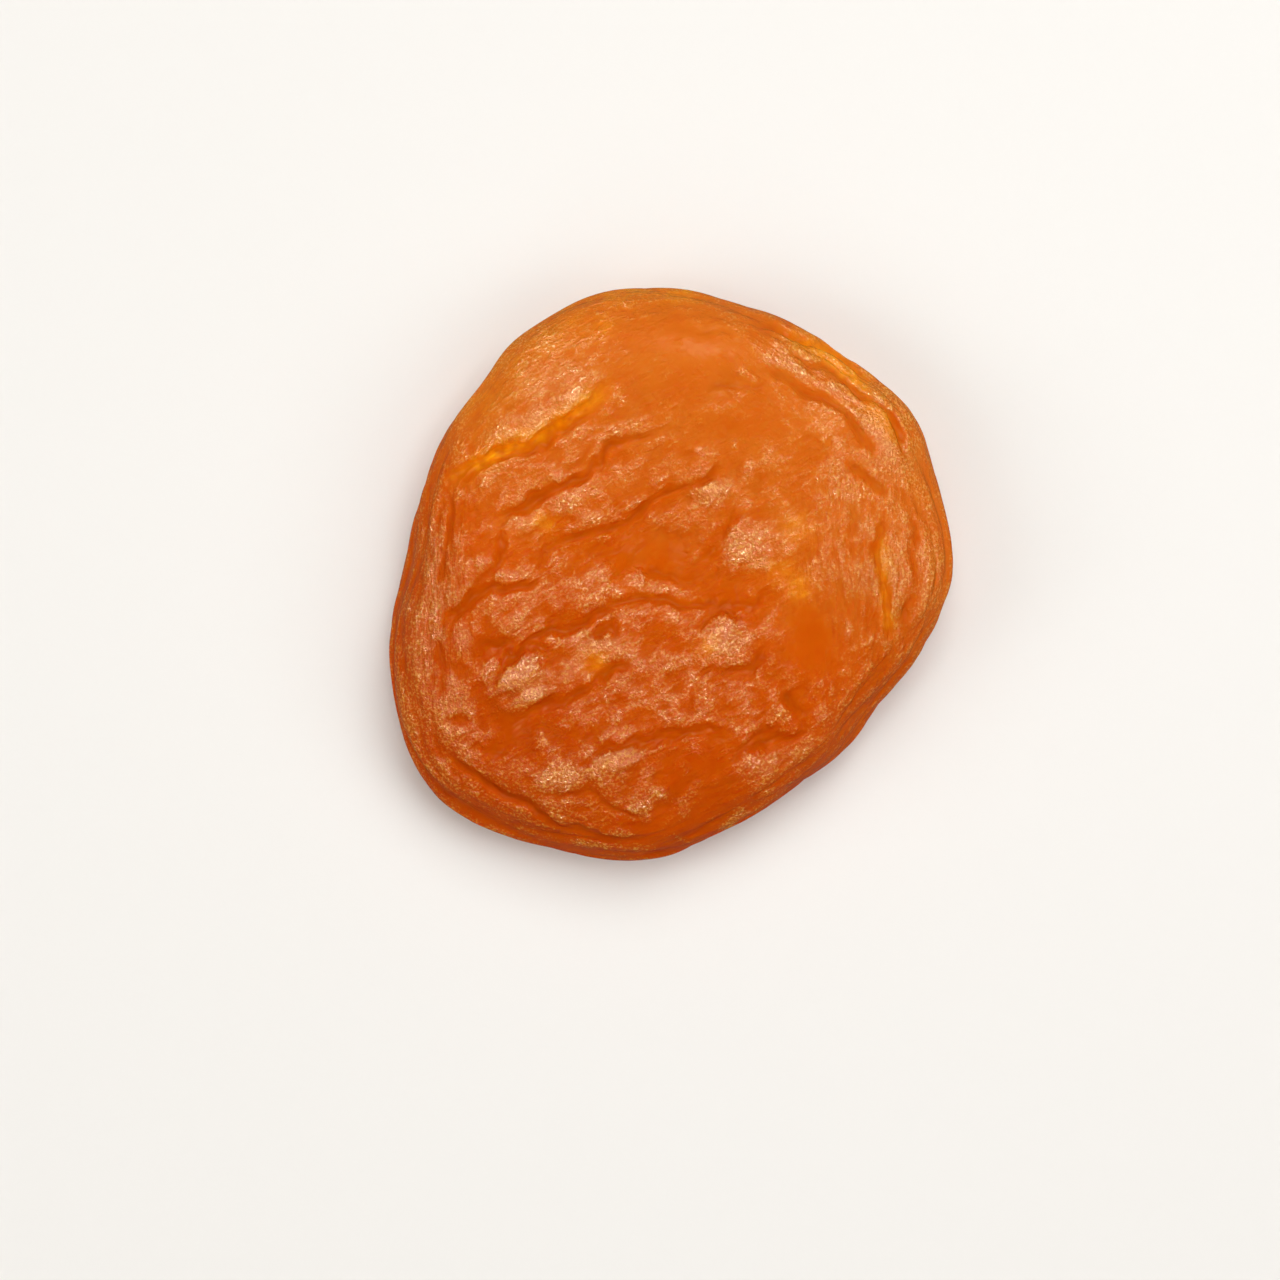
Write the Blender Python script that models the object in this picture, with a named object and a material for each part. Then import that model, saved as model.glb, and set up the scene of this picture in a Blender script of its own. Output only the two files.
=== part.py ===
"""A dried apricot half: pitted, cut along its seam, lying skin side up on its rolled rim.

Run it with blender --background --python part.py, or from the text editor.
Metres, +Z up. The origin is below the middle of the half, on the surface that it lies on.
The fruit is one grown piece, so it is one closed solid: a cube is blown up into a thick
cupped half, and its folds, creases and wrinkles are then pushed in along its normals.
"""
import math

import bmesh
import bpy
import numpy as np

MM = 0.001

# Driving dimensions, in millimetres
LENGTH = 46.0            # along Y, the longest way across
CENTRE_HEIGHT = 9.4      # top of the flesh over the middle of the cup
CUT_DEPTH = 1.9          # how far the cut face stands clear inside the rolled rim
STONE_DEPTH = 1.9        # how much deeper the stone's bed is than the cut face round it
STONE_LENGTH = 25.0      # the stone's bed, along its long axis
STONE_WIDTH = 18.0
STONE_HEADING = 60.0     # degrees, how the stone's long axis lies
RIM_LIFT = 0.55          # how far the rim clears the surface between its low spots
RIM_SINK = 0.35          # how far the low spots are pressed flat by the weight
LOW_SPOT_SPREAD = 17.0   # degrees, half width of each low spot along the rim

CELLS = 31               # squares along each edge of the cube that is blown up
GRID_TURN = 28.0         # degrees, lays the squares along the wrinkles of the middle

# Distance from the middle to the edge, as a share of half the length, in equal steps
# anticlockwise from +X, seen from above
EDGE = (0.993, 0.998, 1.013, 1.005, 0.985, 0.970, 0.990, 0.997, 0.958, 0.903, 0.905, 0.908,
        0.932, 1.008, 1.085, 1.130, 1.083, 1.035, 0.990, 0.936, 0.884, 0.885, 0.882, 0.935)

# Angles in degrees at which the rim touches down
LOW_SPOTS = (22.0, 88.0, 152.0, 224.0, 300.0)

# A radial cut through the flesh, from the middle of the skin side (0) over the rim to the
# middle of the cut side (1): station, share of the edge distance, height
SECTION = (
    (0.00, 0.000, CENTRE_HEIGHT),
    (0.12, 0.280, CENTRE_HEIGHT + 0.15),
    (0.25, 0.580, CENTRE_HEIGHT + 0.35),
    (0.36, 0.800, CENTRE_HEIGHT - 0.25),
    (0.43, 0.900, CENTRE_HEIGHT - 1.30),
    (0.50, 0.965, CENTRE_HEIGHT - 3.00),
    (0.57, 1.000, CENTRE_HEIGHT - 5.30),
    (0.64, 0.965, 1.70),
    (0.70, 0.885, 0.35),
    (0.75, 0.800, 0.00),
    (0.80, 0.700, CUT_DEPTH - 1.20),
    (0.87, 0.540, CUT_DEPTH - 0.20),
    (0.94, 0.280, CUT_DEPTH),
    (1.00, 0.000, CUT_DEPTH),
)
RING_STATION = 0.75      # where the section touches down
RING_SPREAD = 0.085
SKIN_END = 0.62          # past this station the skin has rolled under and gives way to flesh
SKIN_FADE = 0.10
FLANK_STATION = 0.56     # the widest station of the rim
FLANK_SPREAD = 0.10
FLANK_LENGTH = 38.0      # mm round the rim for a whole station
RIM_WAVE = 0.45          # how far the rim rises and falls along the edge

# Broad swellings (+) and hollows (-) of the skin side: x, y, height, reach, all in mm
SWELLS = (
    (-12.5, 14.0, 1.15, 6.5),
    (-4.0, 18.5, 0.60, 6.0),
    (6.0, 17.0, 0.55, 6.0),
    (16.5, 11.0, 0.75, 4.5),
    (19.0, -1.0, 0.70, 5.0),
    (12.5, 2.0, 0.35, 4.0),
    (-14.5, 0.8, 0.55, 3.0),
    (-12.5, -3.4, 0.40, 2.6),
    (-12.0, -8.5, 0.55, 2.4),
    (-6.0, 5.6, 0.45, 2.8),
    (3.4, 6.2, 0.40, 1.6),
    (5.6, 1.4, 0.40, 2.2),
    (4.2, -5.0, 0.50, 2.2),
    (-4.4, -14.9, 0.55, 2.2),
    (-8.4, -16.4, 0.45, 2.2),
    (7.2, -15.6, 0.40, 2.2),
    (-1.0, 1.6, -0.90, 3.2),
    (3.0, -1.4, -0.50, 2.6),
    (-13.0, -6.0, -0.40, 1.5),
    (-12.8, -12.1, -0.45, 2.2),
    (8.2, -13.2, -0.60, 1.2),
    (10.4, -10.2, -0.50, 1.3),
    (11.4, -5.0, -0.45, 2.6),
    (4.4, 14.9, -0.35, 1.2),
    (-15.0, -20.0, -0.80, 5.0),
    (4.0, -20.5, -0.50, 5.0),
)

# Creases of the skin, each one path of (x, y) points in mm from left to right, its depth,
# its half width, and how high the skin on its upper side stands over it as a lip
CREASES = (
    (((-17.5, 7.1), (-13.6, 9.1), (-10.0, 10.7), (-6.9, 12.9), (-4.6, 14.4)), 0.85, 0.90, 0.95),
    (((-14.3, 3.9), (-10.6, 5.7), (-6.4, 7.7), (-2.9, 10.1), (-1.0, 11.1)), 0.75, 0.90, 0.25),
    (((-10.6, 0.7), (-6.1, 2.8), (-1.6, 5.1), (2.2, 7.3), (4.6, 8.7)), 0.65, 0.90, 0.25),
    (((-17.9, -3.5), (-14.3, -1.8), (-10.0, -0.3)), 0.60, 0.85, 0.25),
    (((-17.7, 7.6), (-17.3, 4.0), (-17.6, -0.2), (-17.7, -3.4)), 0.40, 0.80, 0.00),
    (((-15.4, -2.0), (-13.0, 1.2), (-12.5, 3.6)), 0.40, 0.80, 0.00),
    (((-13.6, -7.2), (-10.0, -5.4), (-6.4, -3.7), (-2.9, -2.8)), 0.70, 0.85, 0.20),
    (((-14.2, -9.4), (-13.2, -7.0), (-10.6, -6.3), (-8.0, -6.8)), 0.40, 0.80, 0.00),
    (((-13.6, -12.6), (-9.8, -11.0), (-5.9, -8.8), (-2.6, -6.7)), 0.70, 0.90, 0.25),
    (((-5.6, -2.6), (-0.4, -2.4), (5.0, -2.5), (9.4, -1.8)), 0.45, 0.85, 0.15),
    (((-18.6, -13.2), (-14.8, -16.6), (-10.4, -19.3), (-5.9, -21.3), (-1.5, -21.7)), 0.50, 0.80, 0.15),
    (((-6.8, -15.8), (-4.7, -13.7), (-0.5, -13.2), (5.3, -12.1)), 0.50, 0.85, 0.15),
    (((-10.8, -17.8), (-6.4, -17.6), (-2.9, -19.0), (1.8, -17.8)), 0.40, 0.80, 0.15),
    (((5.3, -13.9), (7.9, -14.1), (10.4, -13.0), (10.6, -11.2)), 0.50, 0.80, 0.00),
    (((2.2, -8.7), (5.6, -7.7), (7.6, -6.2)), 0.40, 0.85, 0.00),
    (((13.6, 9.4), (15.4, 7.6), (17.4, 5.4)), 0.50, 0.85, 0.00),
    (((16.2, 5.0), (16.4, 0.5), (17.4, -3.0), (17.4, -6.2)), 0.45, 0.85, 0.00),
    (((18.8, 7.4), (19.6, 0.4), (18.6, -6.0)), 0.35, 0.80, 0.00),
    (((6.4, 20.0), (9.8, 18.6), (13.8, 17.2), (17.0, 14.2)), 0.45, 0.80, 0.00),
    (((9.0, 17.2), (13.8, 15.3), (17.6, 11.6), (19.2, 8.6)), 0.40, 0.80, 0.00),
    (((2.6, 14.0), (5.0, 14.9), (7.8, 15.0)), 0.40, 0.85, 0.00),
    (((2.2, 1.0), (4.2, 2.9), (6.2, 4.4)), 0.35, 0.80, 0.00),
)
CREASE_END = 0.22        # share of a crease's length over which each end runs out
STEPS_PER_SPAN = 5       # points worked out along a crease between two given ones

# Folds along the rolled rim: from and to in degrees anticlockwise, the station at each end,
# depth, half width and the height of the lip over it
RIM_FOLDS = (
    (148.0, 232.0, 0.490, 0.455, 0.45, 0.85, 0.20),
    (160.0, 246.0, 0.545, 0.520, 0.50, 0.90, 0.25),
    (190.0, 262.0, 0.600, 0.580, 0.45, 0.90, 0.15),
    (238.0, 318.0, 0.530, 0.560, 0.50, 0.90, 0.25),
    (262.0, 342.0, 0.475, 0.500, 0.40, 0.80, 0.15),
    (300.0, 372.0, 0.585, 0.545, 0.50, 0.90, 0.20),
    (326.0, 412.0, 0.505, 0.470, 0.45, 0.85, 0.25),
    (20.0, 102.0, 0.540, 0.575, 0.50, 0.90, 0.25),
    (44.0, 120.0, 0.475, 0.495, 0.35, 0.80, 0.15),
    (92.0, 172.0, 0.560, 0.530, 0.50, 0.90, 0.25),
    (118.0, 176.0, 0.610, 0.600, 0.40, 0.90, 0.10),
)
FOLD_WAVER = 0.010       # how far a fold strays from its line, in stations

# Dents of the rim: angle in degrees, station, depth and reach in mm
DENTS = (
    (203.0, 0.660, 0.60, 3.6),
    (250.0, 0.480, 0.55, 3.8),
    (283.0, 0.640, 0.55, 3.4),
    (322.0, 0.480, 0.50, 3.4),
    (2.0, 0.650, 0.60, 3.4),
    (52.0, 0.640, 0.55, 3.8),
    (112.0, 0.650, 0.60, 3.6),
    (134.0, 0.490, 0.50, 3.4),
    (176.0, 0.500, 0.45, 3.2),
)

# Small wrinkles between the creases: spacing and depth in mm
WRINKLE_SPACING = 4.0
WRINKLE_DEPTH = 0.42
WRINKLE_HEADING = 28.0   # degrees, how the wrinkles of the middle run
RIM_WRINKLE_SPACING = 3.4
RIM_WRINKLE_DEPTH = 0.34
CALM_PATCHES = ((-9.0, 16.0, 8.5), (9.0, 11.5, 4.0), (2.2, -14.2, 2.5), (11.5, -5.0, 2.5))

# Puckers of the cut face: how many waves go round, and their depth in mm
PUCKER_COUNTS = (7, 11, 16, 23)
PUCKER_DEPTH = 0.45

SKIN_COLOUR = (0.66, 0.115, 0.010, 1.0)
SKIN_ROUGHNESS = 0.42
SUBSURFACE = 0.6
SUBSURFACE_REACH = (3.0 * MM, 1.0 * MM, 0.3 * MM)


def smooth_step(value):
    """0 up to 0, 1 from 1 on, and a smooth rise between."""
    value = np.clip(value, 0.0, 1.0)
    return value * value * (3.0 - 2.0 * value)


def curve_through(stations, values, at):
    """A smooth curve through the values at the stations, read at the places given."""
    stations = np.asarray(stations, float)
    values = np.asarray(values, float)
    slopes = np.gradient(values, stations)
    span = np.clip(np.searchsorted(stations, at, side="right") - 1, 0, len(stations) - 2)
    width = stations[span + 1] - stations[span]
    part = (at - stations[span]) / width
    square = part * part
    cube = square * part
    return (
        (2 * cube - 3 * square + 1) * values[span]
        + (cube - 2 * square + part) * width * slopes[span]
        + (3 * square - 2 * cube) * values[span + 1]
        + (cube - square) * width * slopes[span + 1]
    )


def edge_distance(angle):
    """How far the edge lies from the middle, in mm, at each angle in radians."""
    step = 2 * math.pi / len(EDGE)
    wrapped = EDGE[-3:] + EDGE + EDGE[:3]
    stations = (np.arange(len(wrapped)) - 3) * step
    return curve_through(stations, wrapped, np.mod(angle, 2 * math.pi)) * LENGTH / 2


def angle_between(angle, degrees_at):
    """How many degrees each angle is from a given one, the short way round."""
    return np.abs((np.degrees(angle) - degrees_at + 180.0) % 360.0 - 180.0)


def plain_half(angle, station):
    """The half before it wrinkles: x, y and height in mm."""
    marks, shares, heights = zip(*SECTION)
    reach = edge_distance(angle) * curve_through(marks, shares, station)
    height = curve_through(marks, heights, station)
    touch = np.zeros_like(angle)
    for spot in LOW_SPOTS:
        touch += np.exp(-((angle_between(angle, spot) / LOW_SPOT_SPREAD) ** 2))
    ring = np.exp(-(((station - RING_STATION) / RING_SPREAD) ** 2))
    height = height + ring * (RIM_LIFT - (RIM_LIFT + RIM_SINK) * np.minimum(touch, 1.0))
    flank = np.exp(-(((station - FLANK_STATION) / FLANK_SPREAD) ** 2))
    height = height + RIM_WAVE * flank * (np.sin(3 * angle + 0.7) + 0.6 * np.sin(5 * angle + 2.1))
    return reach * np.cos(angle), reach * np.sin(angle), height


def along_path(points):
    """More points along a smooth curve through the given ones."""
    points = np.asarray(points, float)
    marks = np.arange(len(points))
    at = np.linspace(0, len(points) - 1, STEPS_PER_SPAN * (len(points) - 1) + 1)
    return np.stack([curve_through(marks, points[:, 0], at), curve_through(marks, points[:, 1], at)], 1)


def crease(x, y, points, depth, half_width, lip):
    """How far one crease moves the skin, in mm: down in its middle, up along its lip."""
    path = along_path(points)
    nearest = np.full(x.shape, 1e9)
    side = np.zeros_like(x)
    share = np.zeros_like(x)
    spans = len(path) - 1
    for index in range(spans):
        start = path[index]
        run = path[index + 1] - start
        part = np.clip(((x - start[0]) * run[0] + (y - start[1]) * run[1]) / (run @ run), 0.0, 1.0)
        away_x = x - start[0] - part * run[0]
        away_y = y - start[1] - part * run[1]
        distance = np.hypot(away_x, away_y)
        closer = distance < nearest
        nearest = np.where(closer, distance, nearest)
        side = np.where(closer, np.sign(run[0] * away_y - run[1] * away_x), side)
        share = np.where(closer, (index + part) / spans, share)
    ends = smooth_step(share / CREASE_END) * smooth_step((1.0 - share) / CREASE_END)
    valley = np.exp(-((nearest / half_width) ** 2))
    ridge = np.exp(-nearest / (4.0 * half_width)) * (1.0 - valley) * (side > 0)
    return ends * (lip * ridge - depth * valley)


def rim_fold(angle, station, start, end, first, last, depth, half_width, lip):
    """How far one fold along the rim moves the skin, in mm."""
    share = np.mod(np.degrees(angle) - start, 360.0) / (end - start)
    ends = smooth_step(share / CREASE_END) * smooth_step((1.0 - share) / CREASE_END)
    line = first + (last - first) * share + FOLD_WAVER * np.sin(4 * math.pi * share)
    distance = (station - line) * FLANK_LENGTH
    valley = np.exp(-((distance / half_width) ** 2))
    ridge = np.exp(-np.abs(distance) / (3.0 * half_width)) * (1.0 - valley) * (distance < 0)
    return ends * (lip * ridge - depth * valley)


def dent(angle, station, degrees_at, station_at, depth, reach):
    """How far one dent of the rim moves the skin, in mm."""
    along = np.radians(angle_between(angle, degrees_at)) * LENGTH / 2
    across = (station - station_at) * FLANK_LENGTH
    return -depth * np.exp(-(along**2 + across**2) / reach**2)


def wrinkles(x, y, spacing, heading, fan, seed):
    """Pillows 0 high with creases down to -1 between them, running mostly along the heading."""
    rng = np.random.default_rng(seed)
    total = np.zeros_like(x)
    waves = 14
    for _ in range(waves):
        across = math.radians(heading) + math.pi / 2 + rng.normal(0.0, fan)
        number = math.pi / (spacing * rng.uniform(0.75, 1.35))
        phase = rng.uniform(0.0, 2 * math.pi)
        total += np.cos(number * (x * math.cos(across) + y * math.sin(across)) + phase)
    total = np.sqrt(total**2 * 2 / waves + 0.03)
    return total / (total + 0.35) - 1.0


def rim_wrinkles(angle, station, seed):
    """The same pillows and creases, running round the rim."""
    rng = np.random.default_rng(seed)
    total = np.zeros_like(angle)
    waves = 14
    for _ in range(waves):
        number = math.pi / (RIM_WRINKLE_SPACING * rng.uniform(0.7, 1.4))
        turns = int(rng.integers(-7, 8))
        phase = rng.uniform(0.0, 2 * math.pi)
        total += np.cos(number * station * FLANK_LENGTH + turns * angle + phase)
    total = np.sqrt(total**2 * 2 / waves + 0.03)
    return total / (total + 0.35) - 1.0


def skin_relief(x, y, angle, station):
    """Everything that the drying did to the skin side, in mm along its normal."""
    relief = np.zeros_like(x)
    upper = 1.0 - smooth_step((station - 0.52) / 0.06)
    for at_x, at_y, height, reach in SWELLS:
        relief += upper * height * np.exp(-((x - at_x) ** 2 + (y - at_y) ** 2) / reach**2)
    for points, depth, half_width, lip in CREASES:
        relief += upper * crease(x, y, points, depth, half_width, lip)
    for fold in RIM_FOLDS:
        relief += rim_fold(angle, station, *fold)
    for place in DENTS:
        relief += dent(angle, station, *place)
    calm = np.zeros_like(x)
    for at_x, at_y, reach in CALM_PATCHES:
        calm = np.maximum(calm, 0.85 * np.exp(-((x - at_x) ** 2 + (y - at_y) ** 2) / reach**2))
    rim = smooth_step((station - 0.33) / 0.10)
    middle_wrinkles = wrinkles(x, y, WRINKLE_SPACING, WRINKLE_HEADING, 0.35, seed=4)
    relief += WRINKLE_DEPTH * (1.0 - calm) * (1.0 - rim) * middle_wrinkles
    relief += RIM_WRINKLE_DEPTH * (1.0 - calm) * rim * rim_wrinkles(angle, station, seed=9)
    return relief


def flesh_relief(x, y, angle, station):
    """The puckered cut face and the bed of the stone, in mm along the normal."""
    rng = np.random.default_rng(3)
    pucker = np.zeros_like(angle)
    for count in PUCKER_COUNTS:
        pucker += np.cos(count * angle + rng.uniform(0.0, 2 * math.pi) + rng.uniform(-9.0, 9.0) * station)
    face = smooth_step((station - 0.72) / 0.08) * smooth_step((0.97 - station) / 0.14)
    turn = math.radians(STONE_HEADING)
    along = (x * math.cos(turn) + y * math.sin(turn)) / (STONE_LENGTH / 2)
    across = (y * math.cos(turn) - x * math.sin(turn)) / (STONE_WIDTH / 2)
    bed = smooth_step((1.0 - np.hypot(along, across)) / 0.45) * (station > 0.5)
    return PUCKER_DEPTH * face * (1.0 - bed) * pucker / len(PUCKER_COUNTS) - STONE_DEPTH * bed


def blown_up_cube():
    """A cube cut into a grid, with every vertex sent to its direction from the middle."""
    grid = bmesh.new()
    bmesh.ops.create_cube(grid, size=2.0)
    bmesh.ops.subdivide_edges(grid, edges=grid.edges[:], cuts=CELLS - 1, use_grid_fill=True)
    places = np.array([vertex.co for vertex in grid.verts])
    even = np.tan(places * math.pi / 4)
    directions = even / np.linalg.norm(even, axis=1)[:, None]
    turn = math.radians(GRID_TURN)
    x = directions[:, 0] * math.cos(turn) - directions[:, 1] * math.sin(turn)
    y = directions[:, 0] * math.sin(turn) + directions[:, 1] * math.cos(turn)
    return grid, x, y, directions[:, 2]


def move_vertices(grid, x, y, height):
    """Puts every vertex of the grid at its place, given in mm."""
    for vertex, *place in zip(grid.verts, x, y, height):
        vertex.co = [value * MM for value in place]


def apricot_half():
    """The whole fruit as one bmesh, resting on z = 0 with its box centred on the origin."""
    grid, towards_x, towards_y, towards_z = blown_up_cube()
    angle = np.arctan2(towards_y, towards_x)
    station = np.arccos(np.clip(towards_z, -1.0, 1.0)) / math.pi
    x, y, height = plain_half(angle, station)
    move_vertices(grid, x, y, height)
    bmesh.ops.recalc_face_normals(grid, faces=grid.faces[:])
    grid.normal_update()
    normals = np.array([vertex.normal for vertex in grid.verts])

    skin = 1.0 - smooth_step((station - SKIN_END) / SKIN_FADE)
    relief = skin * skin_relief(x, y, angle, station) + flesh_relief(x, y, angle, station)
    x = x + normals[:, 0] * relief
    y = y + normals[:, 1] * relief
    height = np.maximum(height + normals[:, 2] * relief, 0.0)
    fit = LENGTH / (y.max() - y.min())
    x = (x - (x.max() + x.min()) / 2) * fit
    y = (y - (y.max() + y.min()) / 2) * fit
    move_vertices(grid, x, y, height)
    return grid


def skin_material():
    """Moist, glossy, slightly see-through orange skin."""
    material = bpy.data.materials.new("apricot_skin")
    material.use_nodes = True
    shader = material.node_tree.nodes["Principled BSDF"]
    shader.inputs["Base Color"].default_value = SKIN_COLOUR
    shader.inputs["Roughness"].default_value = SKIN_ROUGHNESS
    shader.inputs["Metallic"].default_value = 0.0
    shader.inputs["Subsurface Weight"].default_value = SUBSURFACE
    shader.inputs["Subsurface Radius"].default_value = SUBSURFACE_REACH
    shader.inputs["Subsurface Scale"].default_value = 1.0
    return material


def main():
    for thing in list(bpy.data.objects):
        bpy.data.objects.remove(thing, do_unlink=True)
    collection = bpy.data.collections.new("dried_apricot")
    bpy.context.scene.collection.children.link(collection)

    mesh = bpy.data.meshes.new("apricot_half")
    grid = apricot_half()
    grid.to_mesh(mesh)
    grid.free()
    mesh.materials.append(skin_material())
    mesh.shade_smooth()
    half = bpy.data.objects.new("apricot_half", mesh)
    collection.objects.link(half)


main()
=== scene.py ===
# %% [markdown]
# A dried apricot half, seen from straight above
#
# The fruit was halved along its seam, the stone was taken out and the half was laid out to
# dry. It shrank to a thick, leathery disc with a rolled rim and a skin full of creases. This
# notebook loads the plain solid of that half, builds the fine surface over it, gives it its
# moist orange skin and lights it.

# %% Tools and the frame
import math

import bmesh
import bpy
import numpy as np
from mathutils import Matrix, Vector


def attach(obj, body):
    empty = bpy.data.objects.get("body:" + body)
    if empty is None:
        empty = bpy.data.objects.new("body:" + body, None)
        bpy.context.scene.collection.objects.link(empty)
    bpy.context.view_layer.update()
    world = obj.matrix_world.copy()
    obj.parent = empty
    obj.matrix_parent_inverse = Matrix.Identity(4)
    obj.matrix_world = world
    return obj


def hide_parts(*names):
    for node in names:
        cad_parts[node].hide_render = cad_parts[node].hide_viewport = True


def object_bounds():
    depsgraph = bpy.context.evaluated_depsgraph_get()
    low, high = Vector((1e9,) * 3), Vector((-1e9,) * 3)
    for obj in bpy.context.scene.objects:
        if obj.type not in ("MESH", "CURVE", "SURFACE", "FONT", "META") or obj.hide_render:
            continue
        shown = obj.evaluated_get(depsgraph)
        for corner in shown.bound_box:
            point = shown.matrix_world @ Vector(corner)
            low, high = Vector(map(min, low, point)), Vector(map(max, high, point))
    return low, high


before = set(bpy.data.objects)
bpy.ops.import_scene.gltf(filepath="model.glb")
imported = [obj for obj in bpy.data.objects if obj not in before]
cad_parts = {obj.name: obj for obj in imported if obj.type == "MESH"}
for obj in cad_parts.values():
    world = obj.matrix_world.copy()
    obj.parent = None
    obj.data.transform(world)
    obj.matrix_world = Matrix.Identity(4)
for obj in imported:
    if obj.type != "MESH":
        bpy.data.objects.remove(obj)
cad_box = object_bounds()
MM = 0.001
low, high = cad_box
length, width, height = (high[1] - low[1]) / MM, (high[0] - low[0]) / MM, (high[2] - low[2]) / MM
print(f"solid: {width:.1f} wide, {length:.1f} long, {height:.1f} high, in mm")

# %% [markdown]
# The camera comes first, because every fold is judged through it. The photograph was taken
# from straight above with a long lens, so there is next to no perspective. The lens could be
# matched by eye, by sliding the camera up and down. It is quicker to measure how many pixels
# the fruit spans in the picture and to work the distance out from its real length.

# %% Camera
FRAME_SIDE = 1280                    # the picture's width and height, in pixels
FRUIT_LEFT, FRUIT_RIGHT = 388, 952   # what the half spans in the picture
FRUIT_TOP, FRUIT_BOTTOM = 288, 861
LENS = 100.0                         # mm
SENSOR = 36.0                        # mm
RIM_HEIGHT = 4.6                     # mm, where the half is widest

metres_per_pixel = (high[1] - low[1]) / (FRUIT_BOTTOM - FRUIT_TOP)
distance = FRAME_SIDE * metres_per_pixel * LENS / SENSOR
camera_data = bpy.data.cameras.new("camera")
camera_data.lens = LENS
camera_data.sensor_width = SENSOR
camera_data.clip_start = 0.01
camera = bpy.data.objects.new("camera", camera_data)
bpy.context.scene.collection.objects.link(camera)
camera.location = (
    (FRAME_SIDE - FRUIT_LEFT - FRUIT_RIGHT) / 2 * metres_per_pixel,
    (FRUIT_TOP + FRUIT_BOTTOM - FRAME_SIDE) / 2 * metres_per_pixel,
    RIM_HEIGHT * MM + distance,
)
bpy.context.scene.camera = camera
print(f"camera {distance * 1000:.0f} mm above the rim, {metres_per_pixel * 1000:.4f} mm a pixel")

# %% [markdown]
# Everything in this fruit is a smooth curve: its outline, its cross section and the lines of
# its creases. Blender has curve objects for that, but here the curves are only read, never
# drawn, so one small function is enough. It takes a few stations with a value at each and
# gives the value anywhere between, with no corners.

# %% Curves and smooth steps
def smooth_step(value):
    """0 up to 0, 1 from 1 on, and a smooth rise between."""
    value = np.clip(value, 0.0, 1.0)
    return value * value * (3.0 - 2.0 * value)


def curve_through(stations, values, at):
    """A smooth curve through the values at the stations, read at the places given."""
    stations = np.asarray(stations, float)
    values = np.asarray(values, float)
    slopes = np.gradient(values, stations)
    span = np.clip(np.searchsorted(stations, at, side="right") - 1, 0, len(stations) - 2)
    gap = stations[span + 1] - stations[span]
    part = (at - stations[span]) / gap
    square = part * part
    cube = square * part
    return (
        (2 * cube - 3 * square + 1) * values[span]
        + (cube - 2 * square + part) * gap * slopes[span]
        + (3 * square - 2 * cube) * values[span + 1]
        + (cube - square) * gap * slopes[span + 1]
    )


# %% [markdown]
# The outline, seen from above, is a list of distances from the middle to the edge, a step of
# 15 degrees apart. They are shares of half the length, so that the half keeps its outline at
# any size.

# %% Outline
LENGTH = 46.0            # mm
EDGE = (0.993, 0.998, 1.013, 1.005, 0.985, 0.970, 0.990, 0.997, 0.958, 0.903, 0.905, 0.908,
        0.932, 1.008, 1.085, 1.130, 1.083, 1.035, 0.990, 0.936, 0.884, 0.885, 0.882, 0.935)
OVERLAP = 3              # stations repeated past each end, so that the curve closes smoothly


def edge_distance(angle):
    """How far the edge lies from the middle, in mm, at each angle in radians."""
    step = 2 * math.pi / len(EDGE)
    wrapped = EDGE[-OVERLAP:] + EDGE + EDGE[:OVERLAP]
    stations = (np.arange(len(wrapped)) - OVERLAP) * step
    return curve_through(stations, wrapped, np.mod(angle, 2 * math.pi)) * LENGTH / 2


def angle_between(angle, degrees_at):
    """How many degrees each angle is from a given one, the short way round."""
    return np.abs((np.degrees(angle) - degrees_at + 180.0) % 360.0 - 180.0)


print(f"outline: {min(EDGE):.2f} to {max(EDGE):.2f} of half the length")


# %% [markdown]
# Cut the half in two and look at the cut: from the middle of the skin it runs out nearly
# level, rolls over the rim, touches down and turns in to the hollow where the stone lay. A
# station counts along that line, from 0 in the middle of the skin to 1 in the middle of the
# cut side. The rim touches the table in five places only, and it rises and falls a little on
# its way round, as dried fruit does.

# %% Cross section
CENTRE_HEIGHT = 9.4
CUT_DEPTH = 1.9
SECTION = (
    (0.00, 0.000, CENTRE_HEIGHT),
    (0.12, 0.280, CENTRE_HEIGHT + 0.15),
    (0.25, 0.580, CENTRE_HEIGHT + 0.35),
    (0.36, 0.800, CENTRE_HEIGHT - 0.25),
    (0.43, 0.900, CENTRE_HEIGHT - 1.30),
    (0.50, 0.965, CENTRE_HEIGHT - 3.00),
    (0.57, 1.000, CENTRE_HEIGHT - 5.30),
    (0.64, 0.965, 1.70),
    (0.70, 0.885, 0.35),
    (0.75, 0.800, 0.00),
    (0.80, 0.700, CUT_DEPTH - 1.20),
    (0.87, 0.540, CUT_DEPTH - 0.20),
    (0.94, 0.280, CUT_DEPTH),
    (1.00, 0.000, CUT_DEPTH),
)
LOW_SPOTS = (22.0, 88.0, 152.0, 224.0, 300.0)  # degrees
LOW_SPOT_SPREAD = 17.0
RIM_LIFT = 0.55          # mm that the ring stands off the table between the spots
RIM_SINK = 0.35          # mm that a spot reaches below the table, which flattens it
RING_STATION = 0.75
RING_SPREAD = 0.085
RIM_WAVE = 0.45
RIM_WAVES = ((3, 0.7, 1.0), (5, 2.1, 0.6))     # how many round the rim, start and share
FLANK_STATION = 0.56
FLANK_SPREAD = 0.10
FLANK_LENGTH = 38.0      # mm that a station of 1 would be long, at the pace of the flank


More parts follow.
